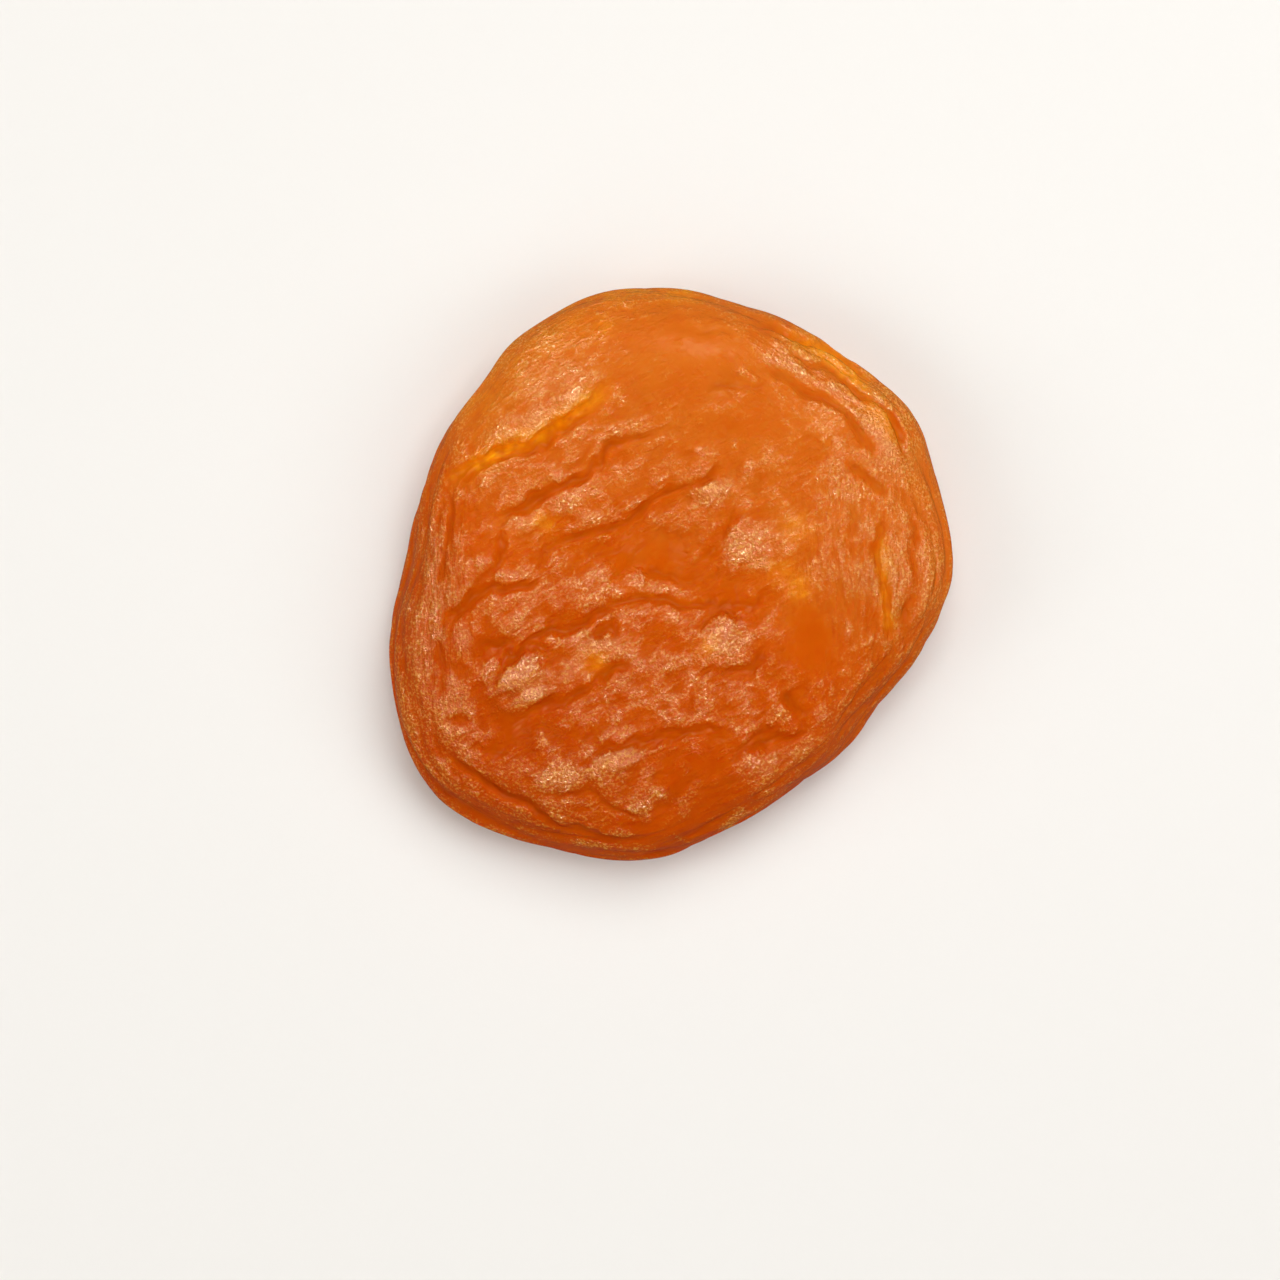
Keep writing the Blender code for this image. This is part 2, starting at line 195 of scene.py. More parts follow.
def plain_half(angle, station):
    """The half before it wrinkles: x, y and height in mm."""
    marks, shares, heights = zip(*SECTION)
    reach = edge_distance(angle) * curve_through(marks, shares, station)
    rise = curve_through(marks, heights, station)
    touch = np.zeros_like(angle)
    for spot in LOW_SPOTS:
        touch += np.exp(-((angle_between(angle, spot) / LOW_SPOT_SPREAD) ** 2))
    ring = np.exp(-(((station - RING_STATION) / RING_SPREAD) ** 2))
    rise = rise + ring * (RIM_LIFT - (RIM_LIFT + RIM_SINK) * np.minimum(touch, 1.0))
    flank = np.exp(-(((station - FLANK_STATION) / FLANK_SPREAD) ** 2))
    wave = sum(share * np.sin(count * angle + start) for count, start, share in RIM_WAVES)
    rise = rise + RIM_WAVE * flank * wave
    return reach * np.cos(angle), reach * np.sin(angle), rise


print(f"cross section: {len(SECTION)} stations")


# %% [markdown]
# Now the skin. Its broad swellings and hollows are soft round bumps, each with a place, a
# height and a reach. The biggest is the smooth cap over the upper left, and the deepest is
# the sunken middle.

# %% Swellings and hollows
SWELLS = (
    # x, y, height and reach
    (-12.5, 14.0, 1.15, 6.5),
    (-4.0, 18.5, 0.60, 6.0),
    (6.0, 17.0, 0.55, 6.0),
    (16.5, 11.0, 0.75, 4.5),
    (19.0, -1.0, 0.70, 5.0),
    (12.5, 2.0, 0.35, 4.0),
    (-14.5, 0.8, 0.55, 3.0),
    (-12.5, -3.4, 0.40, 2.6),
    (-12.0, -8.5, 0.55, 2.4),
    (-6.0, 5.6, 0.45, 2.8),
    (3.4, 6.2, 0.40, 1.6),
    (5.6, 1.4, 0.40, 2.2),
    (4.2, -5.0, 0.50, 2.2),
    (-4.4, -14.9, 0.55, 2.2),
    (-8.4, -16.4, 0.45, 2.2),
    (7.2, -15.6, 0.40, 2.2),
    (-1.0, 1.6, -0.90, 3.2),
    (3.0, -1.4, -0.50, 2.6),
    (-13.0, -6.0, -0.40, 1.5),
    (-12.8, -12.1, -0.45, 2.2),
    (8.2, -13.2, -0.60, 1.2),
    (10.4, -10.2, -0.50, 1.3),
    (11.4, -5.0, -0.45, 2.6),
    (4.4, 14.9, -0.35, 1.2),
    (-15.0, -20.0, -0.80, 5.0),
    (4.0, -20.5, -0.50, 5.0),
)


def patch(x, y, at_x, at_y, reach_x, reach_y):
    """1 at a place, falling softly to 0 beyond its reach each way."""
    return np.exp(-(((x - at_x) / reach_x) ** 2) - ((y - at_y) / reach_y) ** 2)


def swellings(x, y):
    """The broad bumps and hollows of the skin, in mm."""
    relief = np.zeros_like(x)
    for at_x, at_y, rise, reach in SWELLS:
        relief += rise * patch(x, y, at_x, at_y, reach, reach)
    return relief


print(f"swellings and hollows: {len(SWELLS)}")


# %% [markdown]
# A crease is a line where the skin folded in on itself. Each one here is a path of a few
# points, seen from above, with a depth. The skin on its upper side may stand over it as a
# lip, which is what makes the bright edge in the upper left. A sculpting brush would do the
# same by hand, but a path can be moved and measured.

# %% Creases
CREASES = (
    # points of the path, depth and height of the lip
    (((-17.5, 7.1), (-13.6, 9.1), (-10.0, 10.7), (-6.9, 12.9), (-4.6, 14.4)), 0.95, 1.05),
    (((-17.2, 6.5), (-13.3, 8.5), (-9.8, 10.2), (-6.6, 12.3), (-4.8, 13.8)), 0.80, 0.30),
    (((-14.3, 3.9), (-10.6, 5.7), (-6.4, 7.7), (-2.9, 10.1), (-1.0, 11.1)), 0.80, 0.30),
    (((-8.8, 7.8), (-6.6, 8.9), (-4.6, 10.3)), 0.35, 0.10),
    (((-10.6, 0.7), (-6.1, 2.8), (-1.6, 5.1), (2.2, 7.3), (4.6, 8.7)), 0.70, 0.30),
    (((-17.9, -3.5), (-14.3, -1.8), (-10.0, -0.3)), 0.65, 0.30),
    (((-17.7, 7.6), (-17.3, 4.0), (-17.6, -0.2), (-17.7, -3.4)), 0.45, 0.00),
    (((-15.4, -2.0), (-13.0, 1.2), (-12.5, 3.6)), 0.45, 0.00),
    (((-13.6, -7.2), (-10.0, -5.4), (-6.4, -3.7), (-2.9, -2.8)), 0.75, 0.25),
    (((-7.4, -5.3), (-5.1, -4.4), (-3.0, -3.9)), 0.30, 0.10),
    (((-14.2, -9.4), (-13.2, -7.0), (-10.6, -6.3), (-8.0, -6.8)), 0.45, 0.00),
    (((-13.6, -12.6), (-9.8, -11.0), (-5.9, -8.8), (-2.6, -6.7)), 0.75, 0.30),
    (((-5.6, -2.6), (-0.4, -2.4), (5.0, -2.5), (9.4, -1.8)), 0.50, 0.20),
    (((-18.6, -13.2), (-14.8, -16.6), (-10.4, -19.3), (-5.9, -21.3), (-1.5, -21.7)), 0.90, 0.35),
    (((-6.8, -15.8), (-4.7, -13.7), (-0.5, -13.2), (5.3, -12.1)), 0.55, 0.20),
    (((-10.8, -17.8), (-6.4, -17.6), (-2.9, -19.0), (1.8, -17.8)), 0.45, 0.15),
    (((5.3, -13.9), (7.9, -14.1), (10.4, -13.0), (10.6, -11.2)), 0.55, 0.00),
    (((2.2, -8.7), (5.6, -7.7), (7.6, -6.2)), 0.40, 0.00),
    (((13.6, 9.4), (15.4, 7.6), (17.4, 5.4)), 0.55, 0.00),
    (((16.2, 5.0), (16.4, 0.5), (17.4, -3.0), (17.4, -6.2)), 0.50, 0.00),
    (((18.8, 7.4), (19.6, 0.4), (18.6, -6.0)), 0.35, 0.00),
    (((6.4, 20.0), (9.8, 18.6), (13.8, 17.2), (17.0, 14.2)), 0.95, 0.40),
    (((9.0, 17.2), (13.8, 15.3), (17.6, 11.6), (19.2, 8.6)), 0.90, 0.35),
    (((2.6, 14.0), (5.0, 14.9), (7.8, 15.0)), 0.40, 0.00),
    (((2.2, 1.0), (4.2, 2.9), (6.2, 4.4)), 0.35, 0.00),
    (((-6.4, -4.9), (-3.4, -4.0)), 0.30, 0.10),
    (((-2.4, 0.0), (2.4, -0.3)), 0.35, 0.15),
    (((-15.3, -6.1), (-11.9, -5.7)), 0.40, 0.10),
    (((2.4, -5.3), (2.7, -3.8), (4.0, -3.0), (5.5, -3.5), (5.9, -4.9)), 0.40, 0.00),
    (((9.3, -9.3), (10.1, -10.6), (11.2, -11.4)), 0.60, 0.15),
    (((-2.4, -12.9), (0.2, -12.5), (5.3, -12.2)), 0.40, 0.15),
    (((-2.4, -16.5), (-3.4, -14.2)), 0.35, 0.00),
    (((-18.0, -5.3), (-17.5, -10.1)), 0.35, 0.00),
    (((-17.8, -11.8), (-14.4, -11.8)), 0.40, 0.00),
    (((-16.1, -13.9), (-12.0, -14.7)), 0.45, 0.00),
    (((2.1, 18.7), (5.5, 18.8)), 0.30, 0.00),
    (((11.6, 18.6), (14.6, 17.0)), 0.60, 0.20),
    (((7.0, 16.2), (10.6, 14.6), (14.4, 12.0), (16.6, 8.8)), 0.75, 0.30),
    (((16.9, 12.6), (19.1, 9.0)), 0.60, 0.20),
)
CREASE_END = 0.22        # share of its length over which a crease fades in and out
STEPS_PER_SPAN = 5
FAR = 1e9                # mm, further than any path


def along_path(points):
    """More points along a smooth curve through the given ones."""
    points = np.asarray(points, float)
    marks = np.arange(len(points))
    at = np.linspace(0, len(points) - 1, STEPS_PER_SPAN * (len(points) - 1) + 1)
    return np.stack([curve_through(marks, column, at) for column in points.T], 1)


def near_path(x, y, points):
    """For each place: how far the path is, which side of it (+ is left), and how far along it."""
    path = along_path(points)
    nearest = np.full(x.shape, FAR)
    side = np.zeros_like(x)
    share = np.zeros_like(x)
    spans = len(path) - 1
    for index in range(spans):
        start = path[index]
        run = path[index + 1] - start
        part = np.clip(((x - start[0]) * run[0] + (y - start[1]) * run[1]) / (run @ run), 0.0, 1.0)
        away_x = x - start[0] - part * run[0]
        away_y = y - start[1] - part * run[1]
        gap = np.hypot(away_x, away_y)
        closer = gap < nearest
        nearest = np.where(closer, gap, nearest)
        side = np.where(closer, np.sign(run[0] * away_y - run[1] * away_x), side)
        share = np.where(closer, (index + part) / spans, share)
    return nearest, side, share


TROUGH_WIDTH = 0.8       # half widths of the broad trough and of the sharp line in it, in mm
LINE_WIDTH = 0.28
TROUGH_SHARE = 0.22
LIP_START = 0.6
LIP_REACH = 1.6
CREASE_REACH = 4.0       # mm from its path, past which a crease does nothing
CREASE_STRENGTH = 0.42   # how much of the listed depths and lips the dried skin keeps


def crease(x, y, points, depth, lip):
    """How far one crease moves the skin, in mm: a soft trough, a sharp line in it and a lip."""
    nearest, side, share = near_path(x, y, points)
    ends = smooth_step(share / CREASE_END) * smooth_step((1.0 - share) / CREASE_END)
    trough = np.exp(-((nearest / TROUGH_WIDTH) ** 2))
    line = np.exp(-((nearest / LINE_WIDTH) ** 2))
    ridge = np.exp(-nearest / LIP_REACH) * (1.0 - np.exp(-((nearest / LIP_START) ** 2))) * (side > 0)
    valley = TROUGH_SHARE * trough + (1.0 - TROUGH_SHARE) * line
    return CREASE_STRENGTH * ends * (lip * ridge - depth * valley)


def creases(x, y, lines):
    """All the creases together. Each is worked out only near its own path."""
    relief = np.zeros_like(x)
    for points, depth, lip in lines:
        ends_x, ends_y = zip(*points)
        near = (x > min(ends_x) - CREASE_REACH) & (x < max(ends_x) + CREASE_REACH)
        near &= (y > min(ends_y) - CREASE_REACH) & (y < max(ends_y) + CREASE_REACH)
        relief[near] += crease(x[near], y[near], points, depth, lip)
    return relief


print(f"creases: {len(CREASES)}")


# %% [markdown]
# The rim is rolled, and its skin lies in long folds round it, like a rolled sleeve. They
# follow the edge and not the picture, so they are placed by angle and by station. A few
# dents keep the rim from looking turned on a lathe.

# %% Folds and dents of the rim
RIM_FOLDS = (
    # first and last angle, first and last station, depth, half width and lip
    (148.0, 232.0, 0.490, 0.455, 0.45, 0.60, 0.20),
    (160.0, 246.0, 0.545, 0.520, 0.50, 0.65, 0.25),
    (190.0, 262.0, 0.600, 0.580, 0.45, 0.65, 0.15),
    (238.0, 318.0, 0.530, 0.560, 0.50, 0.65, 0.25),
    (262.0, 342.0, 0.475, 0.500, 0.40, 0.60, 0.15),
    (300.0, 372.0, 0.585, 0.545, 0.50, 0.65, 0.20),
    (326.0, 412.0, 0.505, 0.470, 0.45, 0.60, 0.25),
    (20.0, 102.0, 0.540, 0.575, 0.50, 0.65, 0.25),
    (44.0, 120.0, 0.475, 0.495, 0.35, 0.60, 0.15),
    (92.0, 172.0, 0.560, 0.530, 0.50, 0.65, 0.25),
    (118.0, 176.0, 0.610, 0.600, 0.40, 0.65, 0.10),
)
FOLD_WAVER = 0.014
FOLD_WAVES = 5
FOLD_LIP_REACH = 3.0     # half widths
FOLD_STRENGTH = 0.30
DENTS = (
    # angle, station, depth and reach
    (203.0, 0.660, 0.60, 3.6),
    (250.0, 0.480, 0.55, 3.8),
    (283.0, 0.640, 0.55, 3.4),
    (322.0, 0.480, 0.50, 3.4),
    (2.0, 0.650, 0.60, 3.4),
    (52.0, 0.640, 0.55, 3.8),
    (112.0, 0.650, 0.60, 3.6),
    (134.0, 0.490, 0.50, 3.4),
    (176.0, 0.500, 0.45, 3.2),
)


def rim_fold(angle, station, start, end, first, last, depth, half_width, lip):
    """How far one fold along the rim moves the skin, in mm."""
    share = np.mod(np.degrees(angle) - start, 360.0) / (end - start)
    ends = smooth_step(share / CREASE_END) * smooth_step((1.0 - share) / CREASE_END)
    line = first + (last - first) * share + FOLD_WAVER * np.sin(FOLD_WAVES * math.pi * share)
    gap = (station - line) * FLANK_LENGTH
    valley = np.exp(-((gap / half_width) ** 2))
    ridge = np.exp(-np.abs(gap) / (FOLD_LIP_REACH * half_width)) * (1.0 - valley) * (gap < 0)
    return FOLD_STRENGTH * ends * (lip * ridge - depth * valley)


def dent(angle, station, degrees_at, station_at, depth, reach):
    """How far one dent of the rim moves the skin, in mm."""
    along = np.radians(angle_between(angle, degrees_at)) * LENGTH / 2
    across = (station - station_at) * FLANK_LENGTH
    return -depth * np.exp(-(along**2 + across**2) / reach**2)


print(f"rim: {len(RIM_FOLDS)} folds and {len(DENTS)} dents")


# %% [markdown]
# Between the creases the skin is pillowed by small wrinkles. Adding a dozen waves of mixed
# spacing, all running nearly the same way, gives a restless field, and its distance from zero
# gives round pillows with sharp valleys between them, which is how skin shrinks over flesh.
# Round the rim the same waves are wound along the edge.

# %% Wrinkles
PILLOW_WAVES = 14
FACET_WAVES = 6
PILLOW_ROUNDNESS = 0.35
SPACING_SPREAD = (0.75, 1.35)
RIM_SPACING_SPREAD = (0.7, 1.4)
STRAY_WAVES = 5
STRAY_SPREAD = (0.7, 1.6)


def folded(phase):
    """Like a cosine, but with straight slopes between sharp tops and valleys."""
    return np.arcsin(np.cos(phase)) * 2 / math.pi


def crossing_waves(x, y, count, spacing, heading, fan, seed, wave=np.cos):
    """So many waves added up, with a mean height of 0 and a spread of about 1."""
    rng = np.random.default_rng(seed)
    total = np.zeros_like(x)
    for _ in range(count):
        across = math.radians(heading) + math.pi / 2 + rng.normal(0.0, fan)
        number = math.pi / (spacing * rng.uniform(*SPACING_SPREAD))
        phase = rng.uniform(0.0, 2 * math.pi)
        total += wave(number * (x * math.cos(across) + y * math.sin(across)) + phase)
    return total * math.sqrt(2 / count)


def rim_waves(angle, station, count, spacing, most_turns, seed, wave=np.cos):
    """The same, wound round the rim."""
    rng = np.random.default_rng(seed)
    total = np.zeros_like(angle)
    for _ in range(count):
        number = math.pi / (spacing * rng.uniform(*RIM_SPACING_SPREAD))
        turns = int(rng.integers(-most_turns, most_turns + 1))
        phase = rng.uniform(0.0, 2 * math.pi)
        total += wave(number * station * FLANK_LENGTH + turns * angle + phase)
    return total * math.sqrt(2 / count)


def pillows(waves, softness):
    """Turns waves into round pillows with creases down to nearly -1 where the waves cross 0."""
    swell = np.sqrt(waves**2 + softness)
    return swell / (swell + PILLOW_ROUNDNESS) - 1.0


def strayed(x, y, stray, scale, seed):
    """The places moved about by slow waves, so that what is laid on them isn't straight."""
    rng = np.random.default_rng(seed)
    shift_x = np.zeros_like(x)
    shift_y = np.zeros_like(x)
    for _ in range(STRAY_WAVES):
        way = rng.uniform(0.0, 2 * math.pi)
        number = 2 * math.pi / (scale * rng.uniform(*STRAY_SPREAD))
        slow = number * (x * math.cos(way) + y * math.sin(way))
        shift_x += np.cos(slow + rng.uniform(0.0, 2 * math.pi))
        shift_y += np.cos(slow + rng.uniform(0.0, 2 * math.pi))
    return x + shift_x * stray / 2, y + shift_y * stray / 2


print(f"waves: {PILLOW_WAVES} a pillow, {FACET_WAVES} a facet")


# %% [markdown]
# How the wrinkles run changes over the fruit. In the middle they climb to the right, at both
# sides they stand upright, along the upper right they fall with the edge, and low down they
# lie level. Each region below has a middle, a reach each way, a spacing, a depth and a
# heading. Some patches stay calm: the smooth cap, and places where the skin is stretched.

# %% Regions of wrinkles
MOST_CALM = 0.85
CALM_PATCHES = (
    # x, y, reach
    (-9.0, 16.0, 8.5),
    (2.0, 17.0, 4.5),
    (9.0, 11.5, 4.0),
    (2.2, -14.2, 2.5),
    (11.5, -5.0, 2.5),
)
MIDDLE_PILLOWS = (
    # spacing, depth, heading, fan, seed
    (3.6, 0.20, 28.0, 0.30, 4),
    (1.9, 0.15, 30.0, 0.30, 41),
    (1.0, 0.08, 34.0, 0.50, 42),
)
MIDDLE_FACETS = (
    (2.6, 0.05, 30.0, 0.90, 51),
    (1.3, 0.04, 40.0, 1.20, 52),
)
RIM_PILLOWS = (
    # spacing, depth, most turns, seed
    (3.4, 0.17, 7, 9),
    (1.6, 0.08, 12, 43),
    (0.9, 0.04, 20, 44),
)
RIM_FACETS = (
    (2.6, 0.05, 9, 53),
    (1.2, 0.03, 18, 54),
)
PILLOW_SOFTNESS = 0.015
REGION_SOFTNESS = 0.01
UPRIGHT_PLACES = ((16.0, -1.0, 6.0, 10.0), (-18.0, -2.0, 3.0, 10.0))
FALLING_PLACE = (10.0, 16.0, 8.0, 5.0)
UPRIGHT_HUSH = 0.7       # how much of the climbing wrinkles these places lose
FALLING_HUSH = 0.6
REGIONS = (
    # x, y, reach x, reach y, spacing, depth, heading, fan
    (15.5, -1.0, 5.0, 9.0, 1.7, 0.20, 90.0, 0.12),
    (15.0, -1.5, 5.5, 9.0, 0.8, 0.20, 90.0, 0.10),
    (12.5, 15.0, 6.5, 5.0, 1.6, 0.34, -38.0, 0.18),
    (12.5, 15.5, 6.0, 4.0, 0.9, 0.20, -36.0, 0.15),
    (1.0, -13.0, 9.0, 4.5, 1.6, 0.22, 10.0, 0.40),
    (-17.0, -2.0, 3.0, 11.0, 1.3, 0.20, 92.0, 0.15),
    (-0.5, -12.2, 2.6, 1.2, 0.8, 0.16, 102.0, 0.10),
    (5.0, 4.0, 4.0, 4.0, 1.3, 0.18, 65.0, 0.50),
)


def calmness(x, y):
    """How calm the skin is at each place, from 0 to 1."""
    calm = np.zeros_like(x)
    for at_x, at_y, reach in CALM_PATCHES:
        calm = np.maximum(calm, MOST_CALM * patch(x, y, at_x, at_y, reach, reach))
    return calm


def wrinkled(waves, places, pillow_rows, facet_rows):
    """Pillows with small facets on them, in mm, from either kind of waves."""
    relief = 0.0
    for spacing, depth, *way in pillow_rows:
        swell = waves(*places, PILLOW_WAVES, spacing, *way)
        relief = relief + depth * pillows(swell, PILLOW_SOFTNESS)
    for spacing, depth, *way in facet_rows:
        relief = relief + depth * waves(*places, FACET_WAVES, spacing, *way, wave=folded)
    return relief


def region_wrinkles(x, y):
    """The wrinkles that only one region has, in mm."""
    relief = np.zeros_like(x)
    for number, (at_x, at_y, reach_x, reach_y, spacing, depth, heading, fan) in enumerate(REGIONS):
        waves = crossing_waves(x, y, PILLOW_WAVES, spacing, heading, fan, seed=30 + number)
        share = patch(x, y, at_x, at_y, reach_x, reach_y)
        relief += depth * share * pillows(waves, REGION_SOFTNESS)
    return relief


print(f"regions: {len(REGIONS)}")


# %% [markdown]
# The cut side was the open face of the fruit. It dried into a puckered ring round the
# smooth bed of the stone, which is longer than it is wide.

# %% Cut side
STONE_DEPTH, STONE_LENGTH, STONE_WIDTH, STONE_HEADING = 1.9, 25.0, 18.0, 60.0
STONE_EDGE = 0.45        # share of the bed over which it slopes down
FACE_START, FACE_START_FADE = 0.72, 0.08
FACE_END, FACE_END_FADE = 0.97, 0.14
CUT_SIDE_START = 0.5
PUCKER_COUNTS = (7, 11, 16, 23)
PUCKER_DEPTH = 0.45
PUCKER_TWIST = 9.0
FIBRE_DEPTH, FIBRE_SPACING, FIBRE_FAN, FIBRE_SOFTNESS = 0.10, 1.6, 0.35, 0.03


def flesh_relief(x, y, angle, station):
    """The puckered cut face and the bed of the stone, in mm along the normal."""
    rng = np.random.default_rng(3)
    pucker = np.zeros_like(angle)
    for count in PUCKER_COUNTS:
        start = rng.uniform(0.0, 2 * math.pi)
        pucker += np.cos(count * angle + start + rng.uniform(-PUCKER_TWIST, PUCKER_TWIST) * station)
    face = smooth_step((station - FACE_START) / FACE_START_FADE)
    face *= smooth_step((FACE_END - station) / FACE_END_FADE)
    turn = math.radians(STONE_HEADING)
    along = (x * math.cos(turn) + y * math.sin(turn)) / (STONE_LENGTH / 2)
    across = (y * math.cos(turn) - x * math.sin(turn)) / (STONE_WIDTH / 2)
    bed = smooth_step((1.0 - np.hypot(along, across)) / STONE_EDGE) * (station > CUT_SIDE_START)
    fibres = crossing_waves(x, y, PILLOW_WAVES, FIBRE_SPACING, STONE_HEADING, FIBRE_FAN, seed=61)
    fibres = FIBRE_DEPTH * pillows(fibres, FIBRE_SOFTNESS)
    puckers = PUCKER_DEPTH * (1.0 - bed) * pucker / len(PUCKER_COUNTS)
    return face * (puckers + fibres) - STONE_DEPTH * bed


print(f"bed of the stone: {STONE_LENGTH} x {STONE_WIDTH} x {STONE_DEPTH} mm")


# %% [markdown]
# The mesh itself starts as a cube. Cut into a grid of squares and blown up to a ball, it has
# squares of nearly one size everywhere and no poles, which a ball of rings and segments has
# exactly where the middle of the skin shows. Each vertex keeps its direction from the middle
# of the ball, and that direction gives its angle and its station on the half.

# %% Blown-up cube
CELLS = 128
GRID_TURN = 28.0


def blown_up_cube():
    """A cube cut into a grid, and the direction of each of its vertices from the middle."""
    grid = bmesh.new()
    bmesh.ops.create_cube(grid, size=2.0)
    bmesh.ops.subdivide_edges(grid, edges=grid.edges[:], cuts=CELLS - 1, use_grid_fill=True)
    places = np.array([vertex.co for vertex in grid.verts])
    even = np.tan(places * math.pi / 4)
    directions = even / np.linalg.norm(even, axis=1)[:, None]
    turn = math.radians(GRID_TURN)
    x = directions[:, 0] * math.cos(turn) - directions[:, 1] * math.sin(turn)
    y = directions[:, 0] * math.sin(turn) + directions[:, 1] * math.cos(turn)
    return grid, x, y, directions[:, 2]


def move_vertices(grid, x, y, rise):
    """Puts every vertex of the grid at its place, given in mm."""
    for vertex, *place in zip(grid.verts, x, y, rise):
        vertex.co = [value * MM for value in place]


grid, towards_x, towards_y, towards_z = blown_up_cube()
print(f"grid: {len(grid.verts)} vertices, {len(grid.faces)} squares")

# %% [markdown]
# The blown-up cube now becomes the plain half: each vertex goes to its angle and station. The
# stations are spaced a little closer on the skin side, which shows. The normals are read off
# this smooth shape, because every wrinkle rises and falls square to it.

# %% Plain half
TOP_SHARE = 0.25         # how much more of the grid the top gets than the middle of the flank

angle = np.arctan2(towards_y, towards_x)
station = np.arccos(np.clip(towards_z, -1.0, 1.0)) / math.pi
station = station * (1.0 - TOP_SHARE + TOP_SHARE * station)
x, y, rise = plain_half(angle, station)
move_vertices(grid, x, y, rise)
bmesh.ops.recalc_face_normals(grid, faces=grid.faces[:])
grid.normal_update()
normals = np.array([vertex.normal for vertex in grid.verts])
print(f"plain half: {x.max() - x.min():.1f} x {y.max() - y.min():.1f} x {rise.max():.1f} mm")

# %% [markdown]
# Each kind of relief belongs to one part of the fruit and fades out at its border. The
# shares here say where: the skin, the top, the rim, the flank, and where the wrinkles stand
# upright or fall with the edge. The lines on the skin are read at slightly strayed places,
# so that none looks drawn with a ruler.

# %% Parts of the skin
RIM_START, RIM_FADE = 0.33, 0.10               # stations, as the next three
FLANK_START, FLANK_FADE = 0.50, 0.08
TOP_END, TOP_FADE = 0.52, 0.06
SKIN_END, SKIN_FADE = 0.62, 0.10
FLANK_WRINKLES = 0.7     # how much deeper the wrinkles are on the flank than above it
STRAYS = ((0.28, 5.0, 21), (0.09, 1.5, 22))    # how far, over what distance, and seed

skin = 1.0 - smooth_step((station - SKIN_END) / SKIN_FADE)
upper = 1.0 - smooth_step((station - TOP_END) / TOP_FADE)
rim = smooth_step((station - RIM_START) / RIM_FADE)
flank = 1.0 + FLANK_WRINKLES * smooth_step((station - FLANK_START) / FLANK_FADE)
calm = calmness(x, y)
upright = np.maximum(*(patch(x, y, *place) for place in UPRIGHT_PLACES))
falling = (1.0 - upright) * patch(x, y, *FALLING_PLACE)
loose_x, loose_y = x, y
for stray, scale, seed in STRAYS:
    loose_x, loose_y = strayed(loose_x, loose_y, stray, scale, seed)
print(f"strayed by up to {np.hypot(loose_x - x, loose_y - y).max():.2f} mm")

# %% [markdown]
# All the relief is added up in millimetres: swellings, dents, creases, folds and wrinkles on
# the skin, and puckers on the cut side. Real creases are deeper here and shallower there, so
# theirs is multiplied by a restless share.

# %% Relief
BREAK_SPACING, BREAK_HEADING, BREAK_FAN = 1.3, 120.0, 0.5
BREAK_MEAN, BREAK_SWING = 0.9, 0.2
BREAK_LEAST, BREAK_MOST = 0.4, 1.3


def broken(x, y):
    """How deep a crease goes at each place, as a share of its depth."""
    waves = crossing_waves(x, y, FACET_WAVES, BREAK_SPACING, BREAK_HEADING, BREAK_FAN, seed=62)
    return np.clip(BREAK_MEAN + BREAK_SWING * waves, BREAK_LEAST, BREAK_MOST)


relief = upper * swellings(x, y)
for one in DENTS:
    relief += dent(angle, station, *one)
creased = upper * broken(x, y) * creases(loose_x, loose_y, CREASES)
relief += creased
for one in RIM_FOLDS:
    relief += rim_fold(angle, station, *one)
middle = (1 - rim) * (1.0 - UPRIGHT_HUSH * upright - FALLING_HUSH * falling)
loose = (loose_x, loose_y)
wrinkles = middle * wrinkled(crossing_waves, loose, MIDDLE_PILLOWS, MIDDLE_FACETS)
wrinkles += rim * flank * wrinkled(rim_waves, (angle, station), RIM_PILLOWS, RIM_FACETS)
wrinkles += upper * region_wrinkles(*loose)
relief += (1 - calm) * wrinkles
relief = skin * relief + flesh_relief(x, y, angle, station)
print(f"relief: {relief.min():.2f} to {relief.max():.2f} mm")

# %% [markdown]
# Each vertex moves along its normal by the relief. What would sink below the table is held
# at its level, which gives the low spots their flats. Then the half is centred and fitted to
# its length, because the folds have moved its edge a little, and the grid becomes a mesh.

# %% Shaped half
x = x + normals[:, 0] * relief
y = y + normals[:, 1] * relief
rise = np.maximum(rise + normals[:, 2] * relief, 0.0)
fit = LENGTH / (y.max() - y.min())
x = (x - (x.max() + x.min()) / 2) * fit
y = (y - (y.max() + y.min()) / 2) * fit
move_vertices(grid, x, y, rise)
half_mesh = bpy.data.meshes.new("apricot_skin_and_flesh")
grid.to_mesh(half_mesh)
grid.free()
half_mesh.shade_smooth()
half = bpy.data.objects.new("apricot", half_mesh)
bpy.context.scene.collection.objects.link(half)
print(f"shaped: {x.max() - x.min():.1f} x {y.max() - y.min():.1f} x {rise.max():.1f} mm")

# %% [markdown]
# The skin is deep orange down in its valleys and pale on its ridges, and that paleness is
# partly painted sheen. Blender could find the valleys while it renders, but a value kept with
# each vertex costs nothing and stays with the mesh. It is the relief less its own average over
# the neighbours, taken again and again until the average reaches a millimetre or so each way.

# %% Ridges and valleys
FINE_ROUNDS, BROAD_ROUNDS = 1, 60
RIDGE_HEIGHT = 0.45      # mm from the deepest orange to the palest


def averaged(mesh, values, rounds):
    """Each vertex's value averaged with its neighbours', as many times as asked."""
    ends = np.empty(len(mesh.edges) * 2, np.int64)
    mesh.edges.foreach_get("vertices", ends)
    first, second = ends[0::2], ends[1::2]
    size = len(values)
    count = 1.0 + np.bincount(first, minlength=size) + np.bincount(second, minlength=size)
    for _ in range(rounds):
        gathered = np.bincount(first, values[second], size)
        gathered += np.bincount(second, values[first], size)
        values = (values + gathered) / count
    return values


